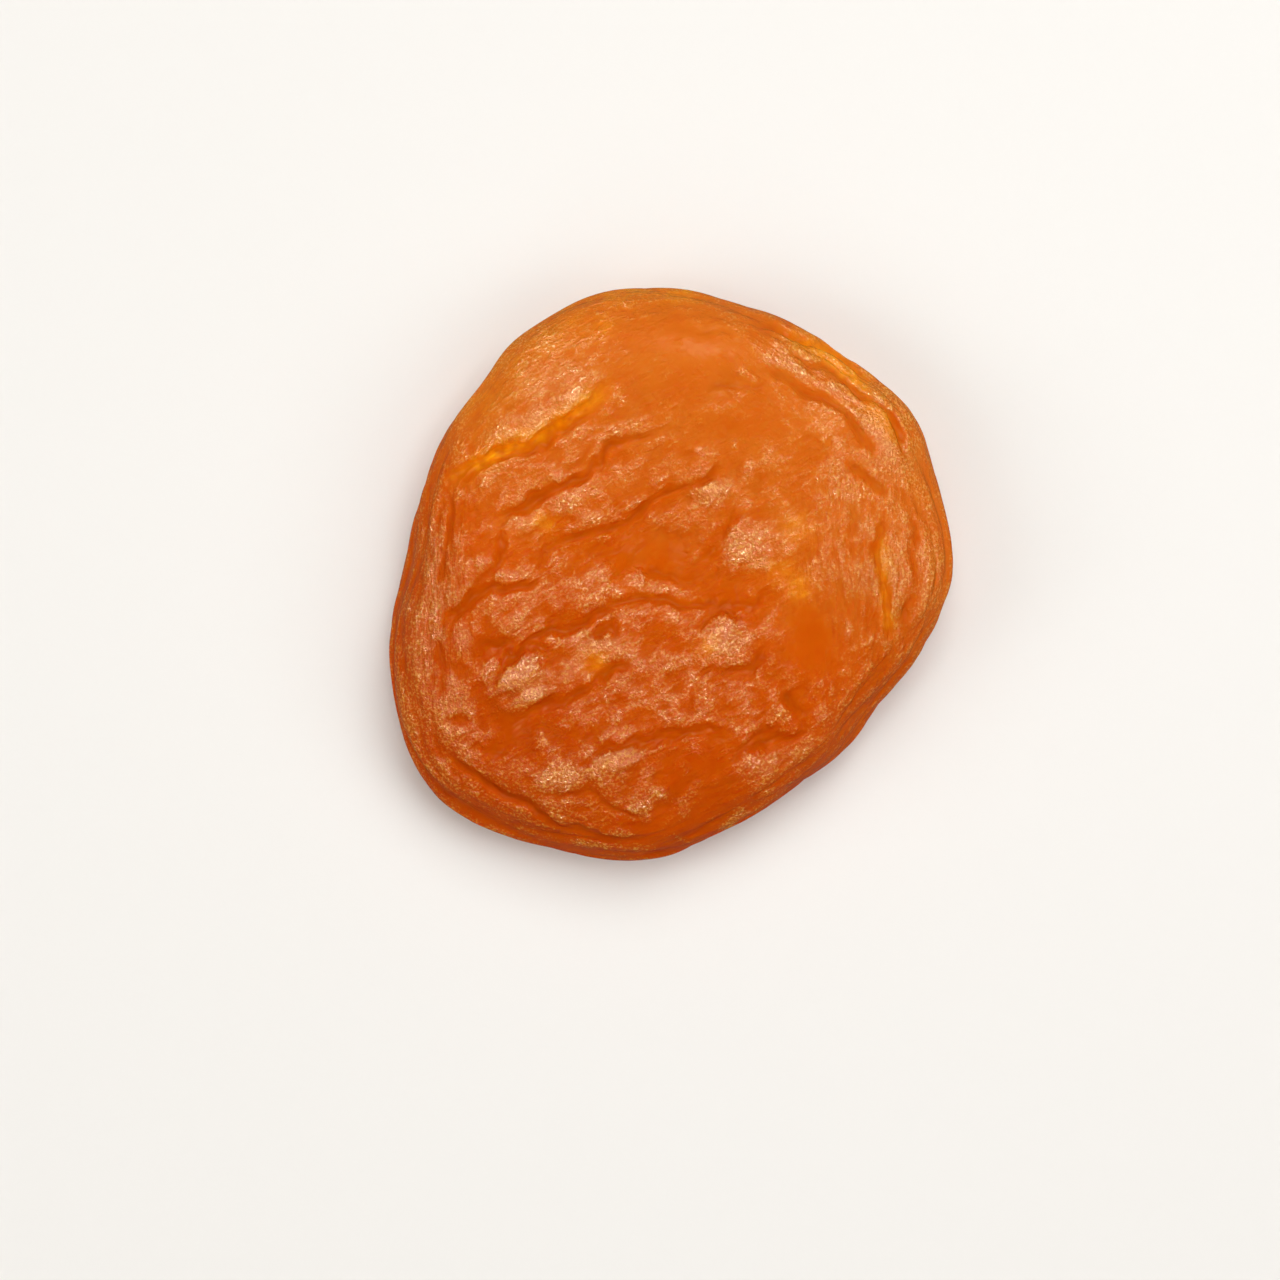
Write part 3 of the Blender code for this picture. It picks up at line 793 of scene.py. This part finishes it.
def keep(mesh, name, values):
    """Stores a number or a vector for each vertex, for the material to read."""
    kind, field = ("FLOAT", "value") if values.ndim == 1 else ("FLOAT_VECTOR", "vector")
    kept = mesh.attributes.new(name, kind, "POINT")
    kept.data.foreach_set(field, np.ascontiguousarray(values, np.float32).ravel())


ridge = averaged(half_mesh, relief, FINE_ROUNDS) - averaged(half_mesh, relief, BROAD_ROUNDS)
keep(half_mesh, "ridge", np.clip(0.5 + ridge / RIDGE_HEIGHT, 0.0, 1.0))
print(f"ridges: {np.percentile(ridge, 5):.2f} to {np.percentile(ridge, 95):.2f} mm")

# %% [markdown]
# Light comes through where the fruit is thin, and shows yellow: along the ledge, along some
# lips of the upper right and in a few stretched spots. This yellow glow is painted into the
# colour. Paths say where, as for the creases.

# %% Painted glow of the thin edges
THROUGH_LIGHT_END = 0.15          # share of its length over which the yellow fades in and out
THROUGH_LIGHT_LEAST = 0.3         # how much of it is left at the ends
THROUGH_LIGHT_PATHS = (
    # path, half width and strength of the painted yellow glow of the light that comes through
    (((-17.0, 7.6), (-13.6, 9.6), (-10.0, 11.3), (-6.9, 13.3), (-4.8, 14.8)), 0.75, 0.80),
    (((-16.2, 10.8), (-13.6, 15.0), (-10.2, 18.6), (-6.0, 20.6)), 2.2, 0.30),
    (((9.5, 18.9), (13.0, 17.0), (15.8, 14.3)), 0.8, 0.8),
    (((15.6, 13.6), (18.0, 10.6)), 0.7, 0.6),
    (((-6.0, 22.0), (-2.0, 22.6), (2.5, 22.3)), 1.0, 0.5),
    (((16.6, 3.4), (16.9, -2.0), (17.3, -4.6)), 0.5, 0.5),
    (((-6.6, -6.6), (-5.4, -7.4)), 1.0, 0.6),
    (((2.4, -5.2), (3.6, -6.0)), 0.9, 0.5),
    (((7.5, 0.4), (10.0, 0.2)), 1.1, 0.3),
    (((9.4, 4.4), (10.6, 2.6)), 1.2, 0.3),
    (((9.8, -0.4), (10.6, -2.0)), 1.0, 0.45),
    (((-10.8, 4.6), (-9.2, 3.6)), 0.8, 0.4),
    (((-5.8, 19.8), (-4.6, 19.2)), 0.6, 0.4),
)


def painted_through_light_at(x, y):
    """How much painted yellow glow stands for light through the skin, where it's thin or stands up
    as an edge.
    """
    through = np.zeros_like(x)
    for points, half_width, strength in THROUGH_LIGHT_PATHS:
        nearest, _, share = near_path(x, y, points)
        ends = smooth_step(share / THROUGH_LIGHT_END) * smooth_step((1.0 - share) / THROUGH_LIGHT_END)
        along = THROUGH_LIGHT_LEAST + (1.0 - THROUGH_LIGHT_LEAST) * ends
        through += strength * along * np.exp(-((nearest / half_width) ** 2))
    return through


# painted glow of light through the thin skin
painted_through_light = np.clip(painted_through_light_at(x, y), 0.0, 1.0)
keep(half_mesh, "painted_through_light", painted_through_light)
print(f"thin: {100 * painted_through_light.mean():.0f} percent")

# %% [markdown]
# A dried apricot isn't evenly moist. Swollen places have dried to a pale, sparkling bloom,
# whose paleness is partly painted sheen and glints, hollows have stayed wet and clear, and
# creases are wet, with no bloom, and painted dark as shade. The places are listed, and
# their borders stray so that none looks stamped.

# %% Dry and wet places
DRY_STRAY = (0.5, 2.5)   # how far the borders stray, and over what distance
SEAM_DEPTH = 0.28        # mm, from which a crease is wholly wet and dark
SEAM_WETNESS = 0.45
# the dry places also decide where pale bloom is painted, which stands partly for sheen
DRY_AND_SHEEN_PLACES = (
    # x, y, reach x, reach y, and how dry, or how wet where it is below 0
    (-11.6, 17.1, 5.5, 5.0, 0.22),
    (-10.3, 19.1, 1.8, 1.4, 0.25),
    (4.7, 15.1, 1.1, 0.9, 0.60),
    (-18.8, -0.3, 1.6, 5.5, 0.35),
    (-8.8, 5.7, 2.6, 1.6, 0.20),
    (3.2, 6.2, 1.5, 1.2, 0.50),
    (6.0, 2.6, 1.9, 1.3, 0.36),
    (7.0, 0.9, 1.2, 1.0, 0.26),
    (-6.8, -0.8, 4.2, 1.4, 0.28),
    (-16.8, -10.8, 1.8, 1.8, 0.32),
    (-11.8, -8.8, 2.5, 2.0, 0.26),
    (-6.3, -5.3, 2.0, 1.6, 0.34),
    (4.2, -5.3, 2.0, 1.6, 0.40),
    (0.7, -8.3, 5.0, 2.2, 0.15),
    (-8.3, -16.3, 2.3, 1.7, 0.42),
    (-4.8, -14.8, 1.8, 1.2, 0.42),
    (-0.3, -17.8, 2.0, 1.0, 0.32),
    (9.2, -14.3, 2.0, 1.4, 0.32),
    (13.7, -10.8, 1.8, 1.8, 0.20),
    (18.2, 2.2, 2.0, 7.0, 0.20),
    (15.2, 2.7, 2.5, 6.0, 0.10),
    (16.2, 14.2, 2.6, 2.2, 0.40),
    (-2.0, 22.4, 5.0, 1.0, 0.25),
    (-20.4, -9.0, 1.8, 5.0, 0.30),
    (-16.5, -16.0, 3.0, 3.0, 0.22),
    (-9.0, -20.0, 4.0, 1.4, 0.22),
    (20.6, 3.0, 1.3, 6.0, 0.25),
    (9.6, 17.4, 3.2, 1.3, 0.45),
    (14.0, 14.6, 2.4, 1.2, 0.35),
    (17.6, 10.0, 1.6, 3.2, 0.30),
    (13.4, 6.8, 2.4, 2.4, 0.22),
    (18.3, 10.8, 0.6, 1.5, 0.70),
    (10.4, 16.6, 2.4, 0.6, 0.30),
    (13.4, 15.0, 1.5, 0.5, 0.55),
    (16.9, 13.6, 0.9, 0.9, 0.55),
    (-6.0, -21.3, 2.4, 0.5, 0.90),
    (-3.5, -18.9, 1.0, 0.5, 0.70),
    (-1.6, -18.1, 0.9, 0.5, 0.70),
    (0.8, -21.0, 0.8, 0.4, 0.80),
    (5.1, -19.6, 0.9, 0.5, 0.80),
    (2.0, 17.4, 5.0, 2.4, -0.50),
    (4.7, 12.5, 5.6, 3.0, -0.12),
    (-1.8, 1.2, 3.6, 1.8, -0.55),
    (11.2, -4.8, 2.3, 2.6, -0.50),
    (2.2, -15.0, 3.0, 1.8, -0.45),
    (-0.8, -20.8, 8.0, 1.7, -0.35),
    (5.2, -1.3, 2.2, 1.4, -0.28),
    (13.5, -16.5, 4.0, 2.4, -0.30),
    (-13.6, 2.4, 1.8, 1.6, -0.20),
)


def dryness_and_sheen(x, y):
    """Where the skin has dried to a pale bloom, partly painted sheen, above 0, and where it's wet,
    below 0.
    """
    dry_and_sheen = np.zeros_like(x)
    for *place, amount in DRY_AND_SHEEN_PLACES:
        dry_and_sheen += amount * patch(x, y, *place)
    return dry_and_sheen


# a crease is wet: no bloom and no painted sheen in it
seam = np.clip(-creased / SEAM_DEPTH, 0.0, 1.0)
dry_and_sheen = dryness_and_sheen(*strayed(x, y, *DRY_STRAY, seed=23)) - SEAM_WETNESS * seam
keep(half_mesh, "dryness_and_sheen", dry_and_sheen)
print(f"dryness: {np.percentile(dry_and_sheen, 5):.2f} to {np.percentile(dry_and_sheen, 95):.2f}")

# %% [markdown]
# The orange is painted deeper low down and to the left and lighter towards the upper right,
# which is painted shade from the side of the main lamp. The creases are painted deeper too,
# as shade, and a few patches are lighter, the cap among them. The material also has to know
# which way the fine crinkles run, where the grain is finest, where the cut side begins, and
# how far round and down the rim a place is.

# %% Other values for the skin
# painted shade: lighter towards the main lamp at the upper right, darker low down and left
SHADE_ACROSS, SHADE_UP, SHADE_SPAN = 0.4, 0.9, 42.0
TONE_PATCHES = (
    # how much lighter, x, y, reach x, reach y
    (0.12, -10.0, 16.0, 8.0, 8.0),
    (0.10, -13.0, 3.0, 7.0, 8.0),
    (0.06, 14.0, 0.0, 5.0, 8.0),
)
# painted shade: how much deeper the creases are painted
SEAM_SHADE = 0.30
GRAIN_START, GRAIN_FADE = -6.0, 8.0            # mm: the finest grain is left of the first

tone_and_shade = 0.5 + (SHADE_ACROSS * x + SHADE_UP * y) / SHADE_SPAN - SEAM_SHADE * seam
for amount, *place in TONE_PATCHES:
    tone_and_shade += amount * patch(x, y, *place)
round_x, round_y = np.cos(angle) * LENGTH / 2, np.sin(angle) * LENGTH / 2
kept_values = {
    "tone_and_shade": smooth_step(tone_and_shade),
    "grainy": smooth_step((GRAIN_START - x) / GRAIN_FADE),
    "upright": upright,
    "falling": falling,
    "climbing": 1.0 - upright - falling,
    "cut": 1.0 - skin,
    "rim": rim,
    "round_rim": np.stack((round_x, round_y, station * FLANK_LENGTH), 1),
}
for name, values in kept_values.items():
    keep(half_mesh, name, values)
    print(f"{name}: {values.min():.2f} to {values.max():.2f}")

# %% [markdown]
# The skin could be painted on one picture, but nodes that read the place on the fruit and
# the values kept there stay sharp at any size. A few short helpers make them.

# %% Helpers for the nodes
def new_node(kind, **settings):
    """Adds a node and sets its properties and its named inputs."""
    node = tree.nodes.new(kind)
    for name, value in settings.items():
        if hasattr(node, name):
            setattr(node, name, value)
        else:
            node.inputs[name].default_value = value
    return node


def ramp(value, *stops):
    """A colour for each value from 0 to 1."""
    node = tree.nodes.new("ShaderNodeValToRGB")
    bands = node.color_ramp.elements
    while len(bands) < len(stops):
        bands.new(0.5)
    for band, (at, colour) in zip(bands, stops):
        band.position = at
        band.color = (*colour, 1.0)
    tree.links.new(value, node.inputs["Fac"])
    return node.outputs["Color"]


def sum_of(*parts):
    """A sum of products. Each part is a socket and its factor, a number or a socket too."""
    total = 0.0
    for socket, factor in parts:
        node = new_node("ShaderNodeMath", operation="MULTIPLY_ADD")
        for entry, value in zip(node.inputs, (socket, factor, total)):
            if hasattr(value, "is_output"):
                tree.links.new(value, entry)
            else:
                entry.default_value = value
        total = node.outputs[0]
    return total


def mixed(share, first, second):
    """A colour that goes from the first to the second as the share goes from 0 to 1."""
    node = new_node("ShaderNodeMix", data_type="RGBA")    # its colours go in at 6 and 7
    for socket, at in ((share, 0), (first, 6), (second, 7)):
        tree.links.new(socket, node.inputs[at])
    return node.outputs[2]


def map_range(value, low_in, high_in, low_out=0.0, high_out=1.0):
    """A value moved from one range to another, and held inside it."""
    node = new_node("ShaderNodeMapRange", clamp=True)
    tree.links.new(value, node.inputs["Value"])
    ends = {"From Min": low_in, "From Max": high_in, "To Min": low_out, "To Max": high_out}
    for name, number in ends.items():
        node.inputs[name].default_value = number
    return node.outputs["Result"]


def noise(vector, cell, stretch=(1.0, 1.0), heading=0.0, detail=2.0, roughness=0.5, distortion=0.0):
    """A noise with cells of a given size, stretched along its heading and across it."""
    size = (cell * stretch[0], cell * stretch[1], cell)
    turn = (0.0, 0.0, math.radians(heading))
    mapping = new_node("ShaderNodeMapping", vector_type="TEXTURE", Scale=size, Rotation=turn)
    tree.links.new(vector, mapping.inputs["Vector"])
    node = new_node("ShaderNodeTexNoise", Scale=1.0, Detail=detail, Roughness=roughness)
    node.inputs["Distortion"].default_value = distortion
    tree.links.new(mapping.outputs["Vector"], node.inputs["Vector"])
    return node.outputs["Fac"]


def attribute(name, output="Fac"):
    """A value kept with the mesh."""
    return new_node("ShaderNodeAttribute", attribute_name=name).outputs[output]


# %% [markdown]
# How far a place has risen out of the wet flesh rules nearly everything: colour, gloss and
# grain. It is the ridge from the mesh with noises of several sizes added, because real skin
# has blotches, small patches and crinkles that no mesh this size can hold.

# %% Patterns of the skin
BLOTCH_SIZE = 2.6 * MM
PATCH_SIZE = 0.9 * MM
SPECK_SIZE = 0.22 * MM
SPECK_RANGE = (0.47, 0.64)
CRINKLES = (
    # name, cell in mm, stretch, heading, distortion and how much it stands up
    ("climbing", 0.42, 2.6, 32.0, 0.5, 1.0),
    ("upright", 0.33, 4.5, 92.0, 0.3, 2.4),
    ("falling", 0.45, 3.5, -38.0, 0.3, 1.3),
)
BLOTCH_SHARE, PATCH_SHARE, CRINKLE_SHARE, DRY_AND_SHEEN_SHARE = 0.6, 0.5, 0.6, 0.85

material = bpy.data.materials.new("apricot_skin")
material.use_nodes = True
tree = material.node_tree
shader = tree.nodes["Principled BSDF"]
on_fruit = tree.nodes.new("ShaderNodeTexCoord").outputs["Object"]
blotches = noise(on_fruit, BLOTCH_SIZE, detail=3.0, roughness=0.6)
patches = noise(on_fruit, PATCH_SIZE)
# the specks are partly specks of sugar and partly painted glints
specks_and_glints = map_range(noise(on_fruit, SPECK_SIZE, detail=1.0), *SPECK_RANGE)
crinkles, crinkle_bumps = [], []
for name, cell, stretch, heading, distortion, bump_height in CRINKLES:
    lines = noise(on_fruit, cell * MM, (stretch, 1.0), heading, detail=3.0, distortion=distortion)
    crinkles.append((lines, attribute(name)))
    crinkle_bumps.append((lines, map_range(attribute(name), 0.0, 1.0, 0.0, bump_height)))
raised = sum_of(
    (attribute("ridge"), 1.0),
    (blotches, BLOTCH_SHARE),
    (patches, PATCH_SHARE),
    (sum_of(*crinkles), CRINKLE_SHARE),
    (attribute("dryness_and_sheen"), DRY_AND_SHEEN_SHARE),
)
print(f"patterns: {len(tree.nodes)} nodes")

# %% [markdown]
# Wet skin shows the clear, deep orange flesh, and dried skin shows a paler bloom with tiny
# light specks, with a gritty border between them. Bloom and specks are partly real sugar and
# partly painted sheen and glints. Both have a riper side and a paler side, which are partly
# painted shade and light. The painted yellow glow of the thin places and the cut flesh are
# laid over them last.

# %% Colour of the skin
GRIT = 0.24
FROST_AND_SHEEN_RANGE = (1.47, 1.96)
TONE_BLOTCHES = 0.8
TONE_RANGE = (0.25, 1.55)
GEL = ((0.0, (0.482, 0.060, 0.000)), (0.5, (0.605, 0.098, 0.001)), (1.0, (0.685, 0.177, 0.012)))
RIPE_AND_SHADED_BLOOM = ((0.0, (0.480, 0.098, 0.003)), (1.0, (0.645, 0.240, 0.028)))
PALE_AND_LIT_BLOOM = ((0.0, (0.610, 0.150, 0.008)), (1.0, (0.785, 0.325, 0.054)))
THROUGH_LIGHT_COLOURS = ((0.30, (0.860, 0.240, 0.000)), (0.70, (0.920, 0.360, 0.006)))
THROUGH_LIGHT_RANGE = (0.35, 0.65, 0.45, 1.15)
FIBRE_SIZE = 0.8 * MM
FIBRE_STRETCH = 2.0
FLESH = ((0.35, (0.540, 0.078, 0.001)), (0.65, (0.640, 0.125, 0.004)))

# the frost lays on the pale bloom, partly real sugar bloom and partly painted sheen
frost_and_sheen = map_range(sum_of((raised, 1.0), (specks_and_glints, GRIT)), *FROST_AND_SHEEN_RANGE)
# the paleness is partly painted light and shade from the lamp's side, and partly blotches
paleness_and_light = sum_of((attribute("tone_and_shade"), 1.0), (blotches, TONE_BLOTCHES))
paleness_and_light = map_range(paleness_and_light, *TONE_RANGE)
bloom_and_sheen = mixed(paleness_and_light, ramp(specks_and_glints, *RIPE_AND_SHADED_BLOOM), ramp(specks_and_glints, *PALE_AND_LIT_BLOOM))
colour = mixed(frost_and_sheen, ramp(paleness_and_light, *GEL), bloom_and_sheen)
# painted glow: the yellow of light coming through the thin places
painted_glow = sum_of((attribute("painted_through_light"), map_range(patches, *THROUGH_LIGHT_RANGE)))
colour = mixed(painted_glow, colour, ramp(blotches, *THROUGH_LIGHT_COLOURS))
fibres = noise(on_fruit, FIBRE_SIZE, (FIBRE_STRETCH, 1.0), STONE_HEADING, detail=3.0)
colour = mixed(attribute("cut"), colour, ramp(fibres, *FLESH))
tree.links.new(colour, shader.inputs["Base Color"])
print(f"with its colour: {len(tree.nodes)} nodes")

# %% [markdown]
# The surface is never smooth. Dried places are pebbled and grainy, crinkles run their own
# way in each part, and fine streaks go round the rim. The bumps are deepest where the skin is
# raised and nearly nothing where it's wet.

# %% Bumps of the skin
PEBBLE_SIZE = 0.27 * MM
GRAIN_SIZE = 0.17 * MM
STREAK_SIZE, STREAK_STRETCH = 0.5, 8.0         # mm down the rim, and how much longer round it
STREAK_DEPTH = 0.05
PEBBLE_RANGE = (1.12, 1.75, 0.012, 0.18)       # from raised so much to so much, depth in mm
CRINKLE_RANGE = (1.10, 1.72, 0.03, 0.14)
PEBBLE_SHARES = (1.0, 0.45)                    # on the right, and on the grainy left
GRAIN_SHARES = (0.20, 0.60)

pebbles = noise(on_fruit, PEBBLE_SIZE, detail=1.5, distortion=0.7)
grains = noise(on_fruit, GRAIN_SIZE, detail=1.0, distortion=0.3)
streaks = noise(attribute("round_rim", "Vector"), STREAK_SIZE, (STREAK_STRETCH, STREAK_STRETCH))
depth = map_range(raised, *PEBBLE_RANGE)
grainy = attribute("grainy")
bumps = sum_of(
    (grains, sum_of((depth, map_range(grainy, 0.0, 1.0, *GRAIN_SHARES)))),
    (pebbles, sum_of((depth, map_range(grainy, 0.0, 1.0, *PEBBLE_SHARES)))),
    (sum_of(*crinkle_bumps), map_range(raised, *CRINKLE_RANGE)),
    (streaks, map_range(attribute("rim"), 0.0, 1.0, 0.0, STREAK_DEPTH)),
)
bump = new_node("ShaderNodeBump", Strength=1.0, Distance=MM)
tree.links.new(bumps, bump.inputs["Height"])
tree.links.new(bump.outputs["Normal"], shader.inputs["Normal"])
print(f"with its bumps: {len(tree.nodes)} nodes")

# %% [markdown]
# Red light travels furthest through the flesh and blue hardly at all, which makes a dried
# apricot glow. The gloss on top is weak: tight and bright on the raised grain, where it
# sparkles, and wide and faint where the skin is wet.

# %% Flesh and gloss
SCATTER_REACH = (3.2 * MM, 1.1 * MM, 0.35 * MM)
SCATTER_SHARE = 0.8
GLOSS_LEVEL = 0.34
GLOSS_RANGE = (1.34, 1.80)
SHINE = ((0.0, (0.04, 0.03, 0.02)), (1.0, (1.00, 0.98, 0.82)))
ROUGHNESS_RANGE = (1.20, 1.70, 0.26, 0.15)

shine = ramp(map_range(raised, *GLOSS_RANGE), *SHINE)
tree.links.new(shine, shader.inputs["Specular Tint"])
tree.links.new(map_range(raised, *ROUGHNESS_RANGE), shader.inputs["Roughness"])
shader.inputs["Specular IOR Level"].default_value = GLOSS_LEVEL
shader.inputs["Subsurface Weight"].default_value = SCATTER_SHARE
shader.inputs["Subsurface Radius"].default_value = SCATTER_REACH
shader.inputs["Subsurface Scale"].default_value = 1.0
half_mesh.materials.append(material)
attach(half, "root")
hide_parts("apricot_half")
print(f"skin: {len(tree.nodes)} nodes")

# %% [markdown]
# The table is a plain pale sheet, wide enough to fill every view. Its reflection would lie as
# a grey haze on the rim, so the skin doesn't reflect it.

# %% Table
TABLE_HALF = 1.5         # metres from its middle to an edge
PAPER = (0.83, 0.82, 0.80, 1.0)
PAPER_ROUGHNESS = 0.9
PAPER_GLOSS = 0.1

floor_grid = bmesh.new()
bmesh.ops.create_grid(floor_grid, x_segments=1, y_segments=1, size=TABLE_HALF)
floor_mesh = bpy.data.meshes.new("table")
floor_grid.to_mesh(floor_mesh)
floor_grid.free()
floor = bpy.data.objects.new("table", floor_mesh)
bpy.context.scene.collection.objects.link(floor)
floor.visible_glossy = False
paper = bpy.data.materials.new("pale_paper")
paper.use_nodes = True
sheet = paper.node_tree.nodes["Principled BSDF"]
sheet.inputs["Base Color"].default_value = PAPER
sheet.inputs["Roughness"].default_value = PAPER_ROUGHNESS
sheet.inputs["Specular IOR Level"].default_value = PAPER_GLOSS
floor_mesh.materials.append(paper)
print(f"table: {2 * TABLE_HALF:.0f} m wide")

# %% [markdown]
# Broad soft lamps, the biggest beyond the top of the picture, give the colour with soft
# shadows. Their reflections would fog the skin, so the skin doesn't reflect them. Small
# strong lamps do that instead, as points of light on its grain, and light nothing else.
# Pale warm walls all round fill the shadows.

# %% Light
LAMP_AWAY, SPARK_AWAY = 0.45, 0.60             # metres
SPARK_COLOUR = (1.0, 0.86, 0.64)
POWER = 4.0              # watts per square metre of lamp at a strength of 1
LAMPS = (
    # name, degrees round from +X, degrees above the table, side in metres, strength
    ("window", 66.0, 64.0, 0.35, 3.2),
    ("left_panel", 190.0, 38.0, 0.26, 2.3),
    ("right_panel", -15.0, 44.0, 0.26, 1.7),
    ("front_panel", -100.0, 44.0, 0.26, 0.9),
)
SPARKS = (
    ("spark_window", 72.0, 56.0, 0.07, 430.0),
    ("spark_top", 124.0, 50.0, 0.06, 390.0),
    ("spark_left", 195.0, 54.0, 0.06, 340.0),
    ("spark_right", -30.0, 54.0, 0.06, 320.0),
)
WALLS = (1.0, 0.88, 0.72, 1.0)
WALL_LIGHT = 0.16


def square_lamp(name, azimuth, elevation, side, strength, away):
    """A square lamp that looks at the fruit and doesn't show in the picture."""
    data = bpy.data.lights.new(name, "AREA")
    data.size = side
    data.energy = POWER * side * side * strength
    lamp = bpy.data.objects.new(name, data)
    turn, tilt = math.radians(azimuth), math.radians(elevation)
    across = math.cos(tilt)
    back = Vector((math.cos(turn) * across, math.sin(turn) * across, math.sin(tilt)))
    lamp.location = back * away
    lamp.rotation_euler = back.to_track_quat("Z", "Y").to_euler()
    lamp.visible_camera = False
    bpy.context.scene.collection.objects.link(lamp)
    return lamp


for lamp in LAMPS:
    square_lamp(*lamp, LAMP_AWAY).visible_glossy = False
for lamp in SPARKS:
    spark = square_lamp(*lamp, SPARK_AWAY)
    spark.data.color = SPARK_COLOUR
    spark.visible_diffuse = False
world = bpy.data.worlds.new("pale_walls")
world.use_nodes = True
walls = world.node_tree.nodes["Background"]
walls.inputs["Color"].default_value = WALLS
walls.inputs["Strength"].default_value = WALL_LIGHT
bpy.context.scene.world = world
bpy.context.scene.view_settings.view_transform = "Standard"
print(f"light: {len(LAMPS)} lamps and {len(SPARKS)} sparks")
